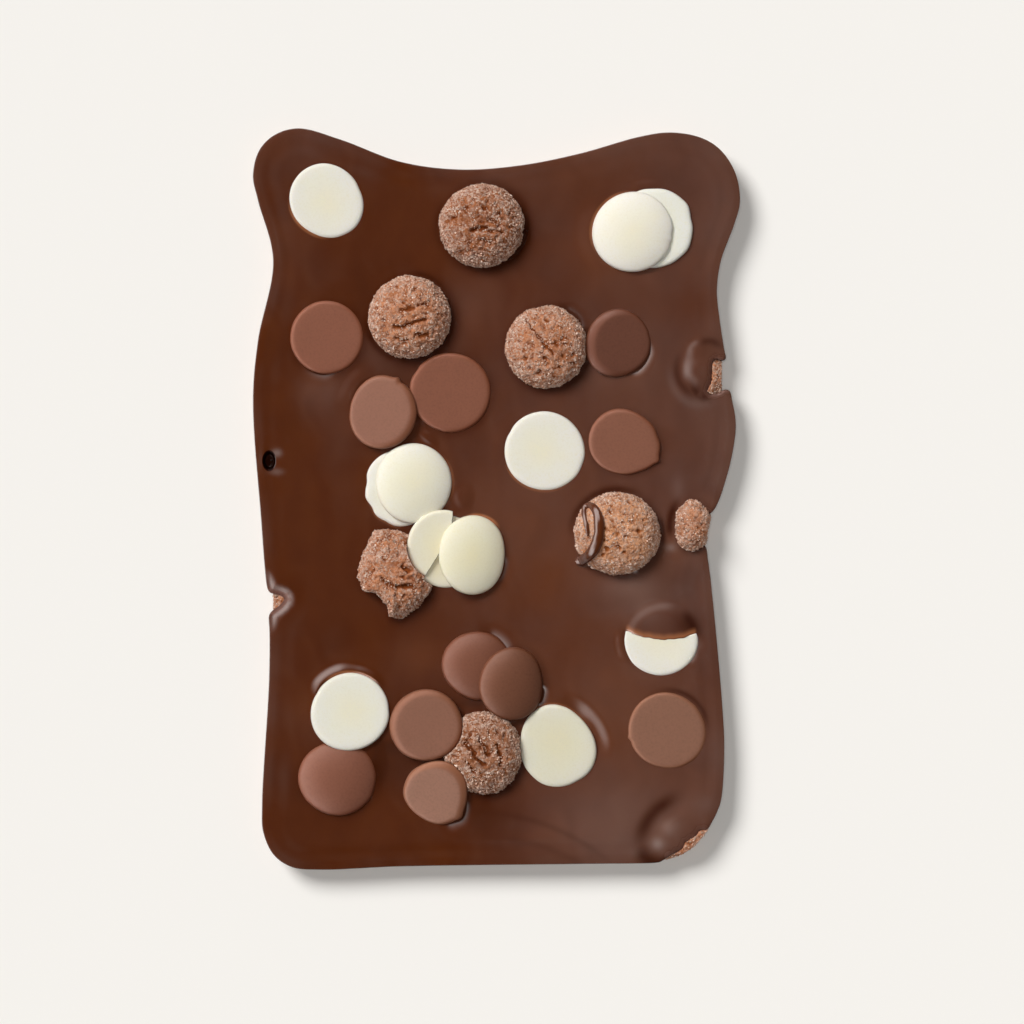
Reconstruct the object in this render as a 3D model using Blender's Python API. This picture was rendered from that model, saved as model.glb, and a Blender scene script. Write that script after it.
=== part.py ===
"""A chocolate slab cast in a wavy mould, with buttons and sugared biscuits set into its top.

The slab lies flat with the decorated face up: metres, +Z up, +Y along its length,
and the origin under the middle of its flat base. Sizes below are in millimetres.
"""

import math

import bmesh
import bpy
import numpy as np
from mathutils import Matrix, Vector, geometry, noise

MM = 0.001

# Slab
SLAB_TOP = 6.5  # level of the poured surface
SWELL = 0.12  # slow unevenness of that surface
SWELL_LENGTH = 34.0
GAP = 0.3  # clearance between a piece and the chocolate or piece that it touches

# The wall of the slab as (distance inwards from the outline, height): the mould tapers downwards,
# and the chocolate stands up a little where it clung to the mould.
BASE_EDGE = (2.3, 0.0)
WALL = [(1.5, 0.4), (0.0, 5.7), (0.35, 6.5), (1.1, 6.75), (2.4, 6.55)]
TURN_STEP = 12.0  # most degrees between outline points
SIDE_STEP = 9.0  # most millimetres between them
GRID_STEP = 3.0  # spacing of the surface points near coated pieces, twice that elsewhere

# The outline, clockwise from the top left lobe; a smooth curve runs through it.
OUTLINE = [
    (-48.2, 90.2), (-38.0, 87.5), (-23.4, 82.1), (-8.9, 80.2), (5.7, 81.2), (20.3, 84.1),
    (34.9, 88.2), (42.2, 89.2), (49.5, 88.0), (54.3, 85.1), (58.0, 79.5), (59.2, 72.4),
    (57.9, 67.1), (54.6, 58.1), (53.6, 50.8), (54.3, 43.5), (55.5, 35.7), (57.1, 25.0),
    (58.2, 18.5), (57.0, 9.5), (54.1, -0.2), (52.2, -4.4), (51.2, -9.0), (52.1, -19.7),
    (54.8, -48.8), (55.4, -61.0), (54.6, -73.1), (52.4, -78.6), (47.1, -85.0), (39.1, -88.3),
    (20.0, -88.6), (-23.4, -89.2), (-42.9, -90.0), (-49.7, -89.4), (-54.1, -86.5),
    (-56.7, -80.9), (-57.0, -74.4), (-55.3, -44.0), (-55.3, -29.4), (-57.2, -5.1),
    (-59.2, 24.1), (-58.0, 38.6), (-54.3, 58.1), (-58.0, 72.7), (-59.2, 78.7),
    (-57.7, 84.8), (-54.1, 88.5),
]  # fmt: skip

# Buttons: drops of chocolate, flat on one side and domed on the other.
BUTTON_THICKNESS = 3.2
BUTTON_SIDES = 20
SOCKET_SIDES = 14
# (fraction of the radius, height above the flat face)
BUTTON_PROFILE = [(0.9, 0.0), (1.0, 0.7), (0.86, 1.75), (0.5, 2.85), (0.0, 3.2)]
# What the chocolate is cut by for a button: open upwards, or closed for the half-covered one.
SOCKET_PROFILES = {
    "flat": [(1.03, -3.0), (1.03, 1.3), (0.62, 3.4)],
    "dome": [(1.03, -0.4), (1.03, 1.3), (0.66, 3.4)],
    "covered": [(1.03, -0.4), (1.03, 1.3), (0.62, 3.4)],
}
# The room over a button, which the biscuit that it lies on stays out of.
ROOM_PROFILES = {
    "flat": [(1.0, -9.0), (1.0, 0.7)],
    "dome": [(1.0, 0.7), (1.0, 12.0)],
}

# name, centre x, y, radius, (out of round, its angle), (egg shape, its angle),
# side that shows, height of that side, tilt, direction of the raised side.
# A later piece lies on an earlier one.
BUTTONS = [
    ("white_button_top_left", -41.3, 72.4, 9.15, (0.049, -47), (0.010, -43), "flat", 6.9, 1, 60),
    ("white_button_top_right_back", 38.1, 66.0, 9.75, (0.012, 80), (0.012, 25), "flat", 7.2, 3, 0),
    ("white_button_top_right_front", 32.9, 64.9, 9.9, (0.013, 30), (0.004, -50), "dome", 9.6, 4, -10),
    ("milk_button_left", -41.2, 39.3, 9.0, (0.003, 64), (0.001, 0), "flat", 7.0, 2, 200),
    ("milk_button_leaning_right", 29.5, 37.8, 8.35, (0.035, 70), (0.012, -21), "flat", 7.8, 9, 175),
    ("milk_button_middle", -11.2, 25.9, 9.85, (0.014, -15), (0.010, 33), "flat", 7.4, 2, 150),
    ("white_button_cluster_back", -22.8, 2.8, 9.4, (0.010, 60), (0.020, 18), "flat", 6.9, 3, 180),
    ("white_button_cluster_front", -19.9, 3.9, 9.55, (0.026, 90), (0.008, 20), "dome", 9.9, 5, 195),
    ("milk_button_leaning_left", -27.6, 21.1, 8.7, (0.055, 80), (0.014, -15), "flat", 8.2, 8, -40),
    ("milk_button_right", 30.9, 13.8, 8.5, (0.066, -20), (0.018, -19), "flat", 7.1, 2, 30),
    ("white_button_centre", 11.7, 11.6, 9.8, (0.010, -19), (0.007, -24), "flat", 7.0, 1, 120),
    ("white_button_broken_lower", -12.0, -12.8, 8.8, (0.010, 80), (0.005, 10), "flat", 7.4, 4, 150),
    ("white_button_broken_upper", -13.2, -11.2, 8.55, (0.015, 60), (0.005, 40), "flat", 8.9, 5, 120),
    ("white_button_tilted", -5.4, -13.6, 8.9, (0.095, 88), (0.010, 50), "dome", 10.8, 12, 175),
    ("white_button_half_coated", 39.9, -34.0, 9.2, (0.004, 10), (0.008, -23), "flat", 6.7, 1, 270),
    ("white_button_bottom_right", 14.7, -60.2, 9.75, (0.056, -68), (0.033, -10), "flat", 7.1, 1, 20),
    ("milk_button_bottom_right", 41.5, -56.3, 9.5, (0.031, -33), (0.007, -27), "flat", 7.0, 1, 200),
    ("milk_button_low_left", -38.6, -67.6, 9.4, (0.020, 2), (0.010, 50), "dome", 8.9, 3, 250),
    ("white_button_bottom_left", -35.6, -51.7, 9.6, (0.016, 38), (0.011, -19), "flat", 7.5, 3, 260),
    ("milk_button_pair_back", -4.5, -40.4, 8.5, (0.021, -32), (0.015, 52), "dome", 8.9, 5, 200),
    ("milk_button_pointed", -14.6, -71.3, 7.95, (0.030, -41), (0.043, 54), "flat", 8.3, 12, 60),
    ("milk_button_on_biscuit", -17.2, -54.9, 9.0, (0.014, 19), (0.006, -25), "flat", 9.0, 3, 10),
    ("milk_button_pair_front", 4.1, -44.8, 8.35, (0.070, 88), (0.020, -48), "dome", 10.6, 12, 190),
]  # fmt: skip

# The broken button: its crack, and for each half the direction of what is missing from it.
CRACK = [(-10.6, -2.0), (-10.8, -6.2), (-13.4, -12.6), (-17.6, -19.0)]
CRACK_AWAY = {"white_button_broken_upper": (1, -0.35), "white_button_broken_lower": (-1, 0.35)}
CRACK_REACH = 14.0

# Biscuits: name, centre x, y, radius x, y, height of the top, height of the base, seed.
LATITUDES = [76, 60, 45, 30, 14, -8, -58]
BISCUIT_SIDES = 22
CRUMB_RADIUS = 8.5  # smaller pieces than this take fewer faces
CRUMB_LATITUDES = [65, 38, 12, -12, -58]
CRUMB_SIDES = 14
BISCUITS = [
    ("biscuit_top", -3.6, 66.4, 10.5, 10.3, 13.0, 1.4, 1),
    ("biscuit_upper_left", -21.1, 44.2, 10.2, 10.2, 12.6, 1.4, 2),
    ("biscuit_upper_right", 12.1, 36.9, 10.1, 10.2, 12.8, 1.4, 3),
    ("biscuit_drizzled", 29.3, -8.4, 10.6, 10.2, 13.2, 1.4, 4),
    ("biscuit_at_right_edge", 47.6, -6.4, 4.6, 6.6, 10.4, 1.4, 5),
    ("biscuit_broken", -24.3, -18.2, 9.6, 10.9, 11.2, 1.4, 6),
    ("biscuit_bottom", -3.2, -61.7, 9.8, 10.2, 12.0, 1.4, 7),
    ("biscuit_in_right_notch", 48.8, 30.0, 6.0, 5.9, 7.5, 1.4, 8),
    ("biscuit_in_left_notch", -51.3, -24.5, 3.3, 3.5, 5.6, 1.4, 9),
    ("biscuit_in_corner", 43.6, -80.2, 8.3, 7.2, 7.4, 1.4, 10),
]  # fmt: skip
BISCUIT_FULLNESS = 0.8  # under 1 makes the dome fuller than an ellipsoid
CRAG = 1.1  # depth of the biscuits' crags
CRAG_LENGTH = 3.0
CRUMB_GAP = 0.2  # between a biscuit at the wall and the line of the wall

# The bite that is broken out of one biscuit: centre and radius.
BITE = ((-31.6, -27.6), 5.9)

# Swellings of the surface over coated pieces: centre x, y, radius x, y, height.
SWELLINGS = [
    (48.6, 30.2, 8.2, 7.8, 2.4),
    (43.6, -80.2, 10.4, 9.2, 2.3),
    (-51.0, -24.5, 5.4, 5.6, 1.0),
]

# The coat on the half-covered button: it ends at a line across the button.
COAT_CENTRE = (39.9, -33.6)
COAT_RADIUS = 10.6
COAT_EDGE_Y = -32.6
COAT_RISE = 1.75
COAT_FALL = 1.6

# Openings in the coat at the wall, where a biscuit shows, cut down to a floor.
OPENING_FLOOR = 1.0
OPENING_TOP = 16.0
OPENINGS = [
    [(52.4, 33.3), (54.5, 33.9), (62, 33.9), (62, 26.2), (55.2, 26.2), (52.9, 25.4), (51.6, 26.0),
     (52.6, 28.0)],
    [(-62, -21.2), (-55.7, -21.6), (-54.9, -22.8), (-52.6, -23.0), (-51.5, -24.1), (-52.2, -25.1),
     (-54.2, -26.3), (-55.2, -27.4), (-62, -27.4)],
    [(58, -79.0), (49.6, -79.6), (48.6, -81.4), (45.9, -83.3), (45.4, -84.8), (42.9, -86.2),
     (40.3, -87.2), (40.3, -94), (58, -94)],
]  # fmt: skip

# A burst bubble near the left side.
BUBBLE = (-55.1, 9.4, 6.4)
BUBBLE_RADII = (1.6, 2.5, 2.6)

# The drizzle on a biscuit: a loop that starts on the chocolate, and its half width.
DRIZZLE = [
    (19.6, -15.2, 1.5), (22.3, -13.9, 1.5), (24.0, -11.6, 1.5), (24.8, -8.4, 1.5), (24.6, -4.4, 1.4),
    (23.4, -1.9, 1.2), (21.8, -1.5, 0.9), (21.2, -3.6, 0.7), (21.7, -6.6, 0.6),
]  # fmt: skip
DRIZZLE_RISE = 0.3
DRIZZLE_FLATNESS = 0.75

# Base colours and roughness
MATERIALS = {
    "dark_chocolate": ((0.085, 0.031, 0.017), 0.32),
    "white_chocolate": ((0.80, 0.75, 0.60), 0.42),
    "milk_chocolate": ((0.24, 0.115, 0.075), 0.48),
    "biscuit": ((0.36, 0.17, 0.10), 0.9),
}


def clear_scene():
    for obj in list(bpy.data.objects):
        bpy.data.objects.remove(obj, do_unlink=True)


def make_materials():
    made = {}
    for name, (colour, roughness) in MATERIALS.items():
        material = bpy.data.materials.new(name)
        material.use_nodes = True
        shader = material.node_tree.nodes["Principled BSDF"]
        shader.inputs["Base Color"].default_value = (*colour, 1.0)
        shader.inputs["Roughness"].default_value = roughness
        shader.inputs["Metallic"].default_value = 0.0
        made[name] = material
    return made


def add_object(name, bm, material=None, smooth_angle=40.0):
    """An object from a bmesh in millimetres, its normals facing out."""
    bmesh.ops.recalc_face_normals(bm, faces=bm.faces)
    bmesh.ops.scale(bm, vec=(MM, MM, MM), verts=bm.verts)
    mesh = bpy.data.meshes.new(name)
    bm.to_mesh(mesh)
    bm.free()
    mesh.shade_smooth()
    mesh.set_sharp_from_angle(angle=math.radians(smooth_angle))
    if material:
        mesh.materials.append(material)
    obj = bpy.data.objects.new(name, mesh)
    bpy.context.scene.collection.objects.link(obj)
    return obj


def join_rings(bm, lower, upper):
    """A band of faces between two rings of as many points."""
    for i in range(len(lower)):
        j = (i + 1) % len(lower)
        bm.faces.new((lower[i], lower[j], upper[j], upper[i]))


def apply_boolean(target, others, operation):
    """Cuts the others from the target or joins them to it, then removes them."""
    group = bpy.data.collections.new("operands")
    bpy.context.scene.collection.children.link(group)
    for other in others:
        group.objects.link(other)
    modifier = target.modifiers.new(operation, "BOOLEAN")
    modifier.operation = operation
    modifier.operand_type = "COLLECTION"
    modifier.collection = group
    graph = bpy.context.evaluated_depsgraph_get()
    result = bpy.data.meshes.new_from_object(target.evaluated_get(graph))
    target.modifiers.remove(modifier)
    old = target.data
    result.name = old.name
    target.data = result
    bpy.data.meshes.remove(old)
    for other in others:
        bpy.data.objects.remove(other, do_unlink=True)
    bpy.data.collections.remove(group)


def smooth_loop(points, steps=24):
    """A closed centripetal curve through the points."""
    points = np.array(points, float)
    count = len(points)
    out = []
    for i in range(count):
        p0, p1, p2, p3 = (points[(i + k) % count] for k in (-1, 0, 1, 2))
        t1 = math.sqrt(math.dist(p0, p1))
        t2 = t1 + math.sqrt(math.dist(p1, p2))
        t3 = t2 + math.sqrt(math.dist(p2, p3))
        for t in np.linspace(t1, t2, steps, endpoint=False):
            a1 = (t1 - t) / t1 * p0 + t / t1 * p1
            a2 = (t2 - t) / (t2 - t1) * p1 + (t - t1) / (t2 - t1) * p2
            a3 = (t3 - t) / (t3 - t2) * p2 + (t - t2) / (t3 - t2) * p3
            b1 = (t2 - t) / t2 * a1 + t / t2 * a2
            b2 = (t3 - t) / (t3 - t1) * a2 + (t - t1) / (t3 - t1) * a3
            out.append((t2 - t) / (t2 - t1) * b1 + (t - t1) / (t2 - t1) * b2)
    return np.array(out)


def thinned(curve):
    """The curve's points, closer together where it turns, with outward normals."""
    ahead = np.roll(curve, -1, axis=0) - curve
    heading = np.unwrap(np.arctan2(ahead[:, 1], ahead[:, 0]))
    length = np.hypot(ahead[:, 0], ahead[:, 1])
    turned = np.abs(np.diff(heading, prepend=heading[-1] + 2 * math.pi))
    turned[0] = 0.0
    effort = np.cumsum(np.degrees(turned) / TURN_STEP + length / SIDE_STEP)
    count = int(effort[-1]) + 1
    chosen = np.searchsorted(effort, np.linspace(0, effort[-1], count, endpoint=False))
    tangent = np.roll(curve, -1, axis=0) - np.roll(curve, 1, axis=0)
    tangent /= np.hypot(tangent[:, 0], tangent[:, 1])[:, None]
    outward = np.stack([-tangent[:, 1], tangent[:, 0]], axis=1)
    return curve[chosen], outward[chosen]


def inside(points, loop):
    """Which points lie inside a closed loop."""
    x, y = points[:, 0:1], points[:, 1:2]
    ax, ay = loop[:, 0], loop[:, 1]
    bx, by = np.roll(ax, -1), np.roll(ay, -1)
    crosses = (ay > y) != (by > y)
    at = ax + (y - ay) * (bx - ax) / np.where(by == ay, 1e-9, by - ay)
    return (crosses & (x < at)).sum(axis=1) % 2 == 1


def surface_height(x, y):
    """Height of the poured surface: a slow swell, and the swellings over what lies under it."""
    z = SLAB_TOP + SWELL * noise.noise(Vector((x / SWELL_LENGTH, y / SWELL_LENGTH, 0.5)))
    for cx, cy, rx, ry, rise in SWELLINGS:
        d = math.hypot((x - cx) / rx, (y - cy) / ry)
        z += rise * max(0.0, 1.0 - d**3) ** 1.2
    d = math.hypot(x - COAT_CENTRE[0], y - COAT_CENTRE[1]) / COAT_RADIUS
    cover = min(1.0, max(0.0, (y - COAT_EDGE_Y) / COAT_FALL))
    z += COAT_RISE * cover * max(0.0, 1.0 - d**4)
    return z


def near_relief(x, y):
    """Whether a place lies on a swelling or on the coat."""
    on_coat = math.hypot(x - COAT_CENTRE[0], y - COAT_CENTRE[1]) < COAT_RADIUS + 1
    return on_coat or any(math.hypot((x - c[0]) / c[2], (y - c[1]) / c[3]) < 1.1 for c in SWELLINGS)


def surface_points(loop):
    """Staggered points of the poured surface inside a loop, closer together on its relief."""
    low, high = loop.min(axis=0), loop.max(axis=0)
    rows = int((high[1] - low[1]) / (GRID_STEP * 0.866)) + 1
    columns = int((high[0] - low[0]) / GRID_STEP) + 2
    found = []
    for row in range(rows):
        shift = 0.5 * (row % 2) + (1.0 if row % 4 > 1 else 0.0)
        for column in range(columns):
            x = low[0] + (column + shift) * GRID_STEP
            y = low[1] + row * GRID_STEP * 0.866
            coarse = row % 2 == 0 and column % 2 == 0
            if coarse or near_relief(x, y):
                found.append((x, y))
    found = np.array(found)
    found = found[inside(found, loop)]
    clear = []
    for p in found:
        room = 0.45 * GRID_STEP * (1 if near_relief(*p) else 2)
        clear.append(np.hypot(*(loop - p).T).min() > room)
    return found[clear]


def make_slab(outline, outward, material):
    bm = bmesh.new()
    rings = []
    for inset, height in [BASE_EDGE, *WALL]:
        ring = []
        for (x, y), (nx, ny) in zip(outline, outward):
            px, py = x - nx * inset, y - ny * inset
            lift = surface_height(px, py) - SLAB_TOP
            share = min(1.0, max(0.0, (height - WALL[1][1]) / (WALL[2][1] - WALL[1][1])))
            ring.append(bm.verts.new((px, py, height + lift * share)))
        rings.append(ring)
    for lower, upper in zip(rings, rings[1:]):
        join_rings(bm, lower, upper)
    bm.faces.new(rings[0])
    loop = np.array([(v.co.x, v.co.y) for v in rings[-1]])
    extra = surface_points(loop)
    flat = [Vector(p) for p in loop.tolist() + extra.tolist()]
    edges = [(i, (i + 1) % len(loop)) for i in range(len(loop))]
    points, _, triangles, origin, _, _ = geometry.delaunay_2d_cdt(flat, edges, [], 1, 1e-6)
    corner = []
    for point, came_from in zip(points, origin):
        rim = [k for k in came_from if k < len(loop)]
        if rim:
            corner.append(rings[-1][rim[0]])
        else:
            corner.append(bm.verts.new((point.x, point.y, surface_height(point.x, point.y))))
    for triangle in triangles:
        bm.faces.new([corner[k] for k in triangle])
    return add_object("chocolate_slab", bm, material)


def button_shape(row, grow, profile, sides):
    """The closed shape of one button about its own centre, the side that shows at height 0."""
    _, _, _, radius, oval, egg, side, _, tilt, raised = row
    lean = Vector((math.cos(math.radians(raised)), math.sin(math.radians(raised)), 0))
    stretch = 1 / math.cos(math.radians(tilt)) - 1
    bm = bmesh.new()
    rings = []
    for share, height in profile:
        if share == 0:
            continue
        ring = []
        for k in range(sides):
            a = 2 * math.pi * k / sides
            wobble = 1 + oval[0] * math.cos(2 * (a - math.radians(oval[1])))
            wobble += egg[0] * math.cos(3 * (a - math.radians(egg[1])))
            out = Vector((math.cos(a), math.sin(a), 0))
            point = (radius * wobble * share + grow) * (out + lean * stretch * out.dot(lean))
            point.z = height + grow * (2 * height / BUTTON_THICKNESS - 1)
            ring.append(bm.verts.new(point))
        rings.append(ring)
    for lower, upper in zip(rings, rings[1:]):
        join_rings(bm, lower, upper)
    bm.faces.new(rings[0])
    if profile[-1][0] == 0:
        pole = bm.verts.new((0, 0, profile[-1][1] + grow))
        for i in range(sides):
            bm.faces.new((rings[-1][i], rings[-1][(i + 1) % sides], pole))
    else:
        bm.faces.new(rings[-1])
    for vert in bm.verts:
        vert.co.z = -vert.co.z if side == "flat" else vert.co.z - BUTTON_THICKNESS
    bmesh.ops.triangulate(bm, faces=bm.faces)
    return bm


def place_button(obj, row):
    """Leans the button towards its low side and sets it at its height."""
    _, x, y, _, _, _, _, height, tilt, raised = row
    axis = Vector((-math.sin(math.radians(raised)), math.cos(math.radians(raised)), 0))
    obj.matrix_world = Matrix.Translation((x * MM, y * MM, height * MM)) @ Matrix.Rotation(
        -math.radians(tilt), 4, axis
    )


def crack_blade(name, grow):
    """A block on one side of the crack, a little clear of it, or over it for a larger copy."""
    away = Vector(CRACK_AWAY[name]).normalized()
    near = [Vector(p) + away * (grow - GAP / 2) for p in CRACK]
    far = [p + away * CRACK_REACH for p in near]
    top, bottom = Vector((0.1, 1)) * CRACK_REACH, Vector((-0.6, -1)) * CRACK_REACH
    near = [near[0] + top, *near, near[-1] + bottom]
    far = [far[0] + top, *far, far[-1] + bottom]
    return prism("crack_blade", near + far[::-1], -2.0, OPENING_TOP)


def prism(name, loop, low, high):
    """A straight block on a flat loop of points."""
    bm = bmesh.new()
    bottom = [bm.verts.new((p[0], p[1], low)) for p in loop]
    face = bm.faces.new(bottom)
    lifted = bmesh.ops.extrude_face_region(bm, geom=[face])["geom"]
    raised = [g for g in lifted if isinstance(g, bmesh.types.BMVert)]
    bmesh.ops.translate(bm, vec=(0, 0, high - low), verts=raised)
    obj = add_object(name, bm)
    obj.hide_render = True
    obj.display_type = "WIRE"
    return obj


def wall_inset(height):
    """How far inside the outline the wall stands at a height."""
    profile = [BASE_EDGE, *WALL[:3]]
    heights = [p[1] for p in profile]
    return float(np.interp(height, heights, [p[0] for p in profile]))


def biscuit_shape(row, grow, curve):
    """A craggy dome with a small flat base, kept inside the wall of the slab."""
    _, cx, cy, rx, ry, top, base, seed = row
    waist = base + 0.38 * (top - base)
    bm = bmesh.new()
    latitudes = LATITUDES if rx > CRUMB_RADIUS else CRUMB_LATITUDES
    sides = BISCUIT_SIDES if rx > CRUMB_RADIUS else CRUMB_SIDES
    crown = bm.verts.new((cx, cy, top + grow))
    rings = []
    for latitude in latitudes:
        up = math.radians(latitude)
        out = math.cos(up) ** BISCUIT_FULLNESS
        rise = abs(math.sin(up)) ** BISCUIT_FULLNESS * math.copysign(1.0, latitude)
        ring = []
        for k in range(sides):
            a = 2 * math.pi * k / sides
            x, y = rx * out * math.cos(a), ry * out * math.sin(a)
            z = waist + rise * ((top - waist) if latitude > 0 else (waist - base))
            rough = noise.noise(Vector((x, y, z + 27.0 * seed)) / CRAG_LENGTH)
            swell = 1 + (CRAG * rough * (0.4 if latitude < 0 else 1.0) + grow) / rx
            x, y = cx + x * swell, cy + y * swell
            z = waist + (z - waist) * swell
            if grow == 0:
                x, y = keep_inside(x, y, z, curve)
            ring.append(bm.verts.new((x, y, max(z, base - grow))))
        rings.append(ring)
    for upper, lower in zip(rings, rings[1:]):
        join_rings(bm, lower, upper)
    for i in range(sides):
        bm.faces.new((rings[0][i], rings[0][(i + 1) % sides], crown))
    bm.faces.new(rings[-1])
    bmesh.ops.triangulate(bm, faces=bm.faces)
    return bm


def keep_inside(x, y, z, curve):
    """Moves a point straight inwards from the wall if it is past it."""
    gaps = curve - np.array((x, y))
    nearest = int(np.argmin((gaps**2).sum(axis=1)))
    before, after = curve[nearest - 1], curve[(nearest + 1) % len(curve)]
    along = (after - before) / math.dist(before, after)
    outward = np.array((-along[1], along[0]))
    depth = float(np.dot(curve[nearest] - np.array((x, y)), outward))
    short = wall_inset(z) + CRUMB_GAP - depth
    if short > 0:
        x, y = x - outward[0] * short, y - outward[1] * short
    return x, y


def bite_cutter(grow):
    """A lumpy upright barrel the size of the bite, smaller for a larger copy of the biscuit."""
    bm = bmesh.new()
    (cx, cy), radius = BITE
    radius -= grow
    sides = 16
    rings = []
    for height in (0.0, 4.0, 8.0, OPENING_TOP):
        ring = []
        for k in range(sides):
            a = 2 * math.pi * k / sides
            x, y = math.cos(a), math.sin(a)
            r = radius * (1 + 0.13 * noise.noise(Vector((x * 2, y * 2, height / 3))))
            ring.append(bm.verts.new((cx + r * x, cy + r * y, height)))
        rings.append(ring)
    for lower, upper in zip(rings, rings[1:]):
        join_rings(bm, lower, upper)
    bm.faces.new(rings[0])
    bm.faces.new(rings[-1])
    return add_object("bite", bm)


def biscuit_height(row, x, y):
    """Height of a biscuit's smooth dome over a place."""
    _, cx, cy, rx, ry, top, base, _ = row
    waist = base + 0.38 * (top - base)
    out = min(1.0, math.hypot((x - cx) / rx, (y - cy) / ry)) ** (1 / BISCUIT_FULLNESS)
    return waist + (top - waist) * math.sqrt(1 - out**2) ** BISCUIT_FULLNESS


def make_drizzle(row):
    """A thread of chocolate laid over a biscuit, flattened where it lies."""
    bm = bmesh.new()
    sides = 8
    path = []
    for x, y, half in DRIZZLE:
        lowest = SLAB_TOP + DRIZZLE_FLATNESS * half + 2 * GAP
        path.append(Vector((x, y, max(biscuit_height(row, x, y) + DRIZZLE_RISE, lowest))))
    rings = []
    for i, (centre, (_, _, half)) in enumerate(zip(path, DRIZZLE)):
        along = (path[min(i + 1, len(path) - 1)] - path[max(i - 1, 0)]).normalized()
        across = along.cross(Vector((0, 0, 1))).normalized()
        up = across.cross(along)
        ring = []
        for k in range(sides):
            a = 2 * math.pi * k / sides
            offset = across * math.cos(a) + up * DRIZZLE_FLATNESS * math.sin(a)
            ring.append(bm.verts.new(centre + half * offset))
        rings.append(ring)
    for lower, upper in zip(rings, rings[1:]):
        join_rings(bm, lower, upper)
    bm.faces.new(rings[0])
    bm.faces.new(rings[-1])
    return add_object("drizzle", bm)


def bubble_cutter():
    bm = bmesh.new()
    bmesh.ops.create_icosphere(bm, subdivisions=2, radius=1.0)
    bmesh.ops.scale(bm, vec=BUBBLE_RADII, verts=bm.verts)
    bmesh.ops.translate(bm, vec=BUBBLE, verts=bm.verts)
    return add_object("bubble", bm)


def make_button(row, material, grow=0.0):
    """One button, or a copy that is larger all round."""
    bm = button_shape(row, grow, BUTTON_PROFILE, BUTTON_SIDES)
    obj = add_object(row[0], bm, material, 25.0)
    place_button(obj, row)
    if row[0] in CRACK_AWAY:
        apply_boolean(obj, [crack_blade(row[0], grow)], "DIFFERENCE")
    return obj


def button_socket(row):
    """A plainer shape that the button fits into with room round it."""
    kind = "covered" if row[0] == "white_button_half_coated" else row[6]
    obj = add_object("socket", button_shape(row, GAP / 2, SOCKET_PROFILES[kind], SOCKET_SIDES))
    place_button(obj, row)
    if row[0] in CRACK_AWAY:
        apply_boolean(obj, [crack_blade(row[0], GAP)], "DIFFERENCE")
    return obj


def room_over(row):
    """The space straight above a button, down to its rim."""
    room = add_object("room", button_shape(row, GAP, ROOM_PROFILES[row[6]], BUTTON_SIDES))
    place_button(room, row)
    if row[0] in CRACK_AWAY:
        apply_boolean(room, [crack_blade(row[0], GAP)], "DIFFERENCE")
    return room


def make_biscuit(row, material, curve, grow=0.0):
    obj = add_object(row[0], biscuit_shape(row, grow, curve), material, 25.0)
    if row[0] == "biscuit_broken":
        apply_boolean(obj, [bite_cutter(grow)], "DIFFERENCE")
    return obj


def box_of(obj):
    corners = np.array([obj.matrix_world @ Vector(c) for c in obj.bound_box])
    return corners.min(axis=0), corners.max(axis=0)


def boxes_meet(a, b):
    (low_a, high_a), (low_b, high_b) = box_of(a), box_of(b)
    return bool(np.all(low_a < high_b) and np.all(low_b < high_a))


def main():
    clear_scene()
    materials = make_materials()
    curve = smooth_loop(OUTLINE)
    curve -= (curve.min(axis=0) + curve.max(axis=0)) / 2
    outline, outward = thinned(curve)
    slab = make_slab(outline, outward, materials["dark_chocolate"])

    laid = []
    for row in BISCUITS:
        laid.append(make_biscuit(row, materials["biscuit"], curve))
    for row in BUTTONS:
        kind = "white_chocolate" if row[0].startswith("white") else "milk_chocolate"
        button = make_button(row, materials[kind])
        bpy.context.view_layer.update()
        for lower in laid:
            if boxes_meet(lower, button):
                taken = [make_button(row, None, GAP)]
                if lower.name.startswith("biscuit"):
                    taken.append(room_over(row))
                apply_boolean(lower, taken, "DIFFERENCE")
        laid.append(button)

    drizzled, row = next((p, r) for p, r in zip(laid, BISCUITS) if r[0] == "biscuit_drizzled")
    apply_boolean(drizzled, [make_drizzle(row)], "UNION")

    sockets = [make_biscuit(row, None, curve, GAP) for row in BISCUITS]
    sockets += [button_socket(row) for row in BUTTONS]
    openings = [prism("opening", loop, OPENING_FLOOR, OPENING_TOP) for loop in OPENINGS]
    apply_boolean(slab, [*sockets, *openings, bubble_cutter()], "DIFFERENCE")


main()
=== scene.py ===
"""A chocolate slab with buttons and sugared biscuits set into its top, dressed for a studio picture.

Places and sizes are in millimetres from the middle of the slab's flat base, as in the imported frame.
"""

import math
import random
from collections import namedtuple
from functools import cache

import bmesh
import bpy
import numpy as np
from mathutils import Matrix, Vector, geometry, kdtree, noise


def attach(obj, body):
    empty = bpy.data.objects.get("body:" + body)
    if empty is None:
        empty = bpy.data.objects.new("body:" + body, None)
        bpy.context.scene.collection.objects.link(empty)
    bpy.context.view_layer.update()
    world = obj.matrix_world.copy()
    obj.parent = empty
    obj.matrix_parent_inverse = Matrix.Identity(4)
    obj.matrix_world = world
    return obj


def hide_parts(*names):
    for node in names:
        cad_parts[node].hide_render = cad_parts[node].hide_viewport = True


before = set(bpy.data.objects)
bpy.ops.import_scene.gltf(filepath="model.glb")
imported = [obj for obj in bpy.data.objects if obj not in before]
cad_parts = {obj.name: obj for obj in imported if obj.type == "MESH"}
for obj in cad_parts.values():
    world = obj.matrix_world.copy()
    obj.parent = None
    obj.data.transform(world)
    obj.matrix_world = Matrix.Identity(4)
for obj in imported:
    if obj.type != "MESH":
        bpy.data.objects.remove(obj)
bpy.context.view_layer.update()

MM = 0.001
SLAB_TOP = 6.5

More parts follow.
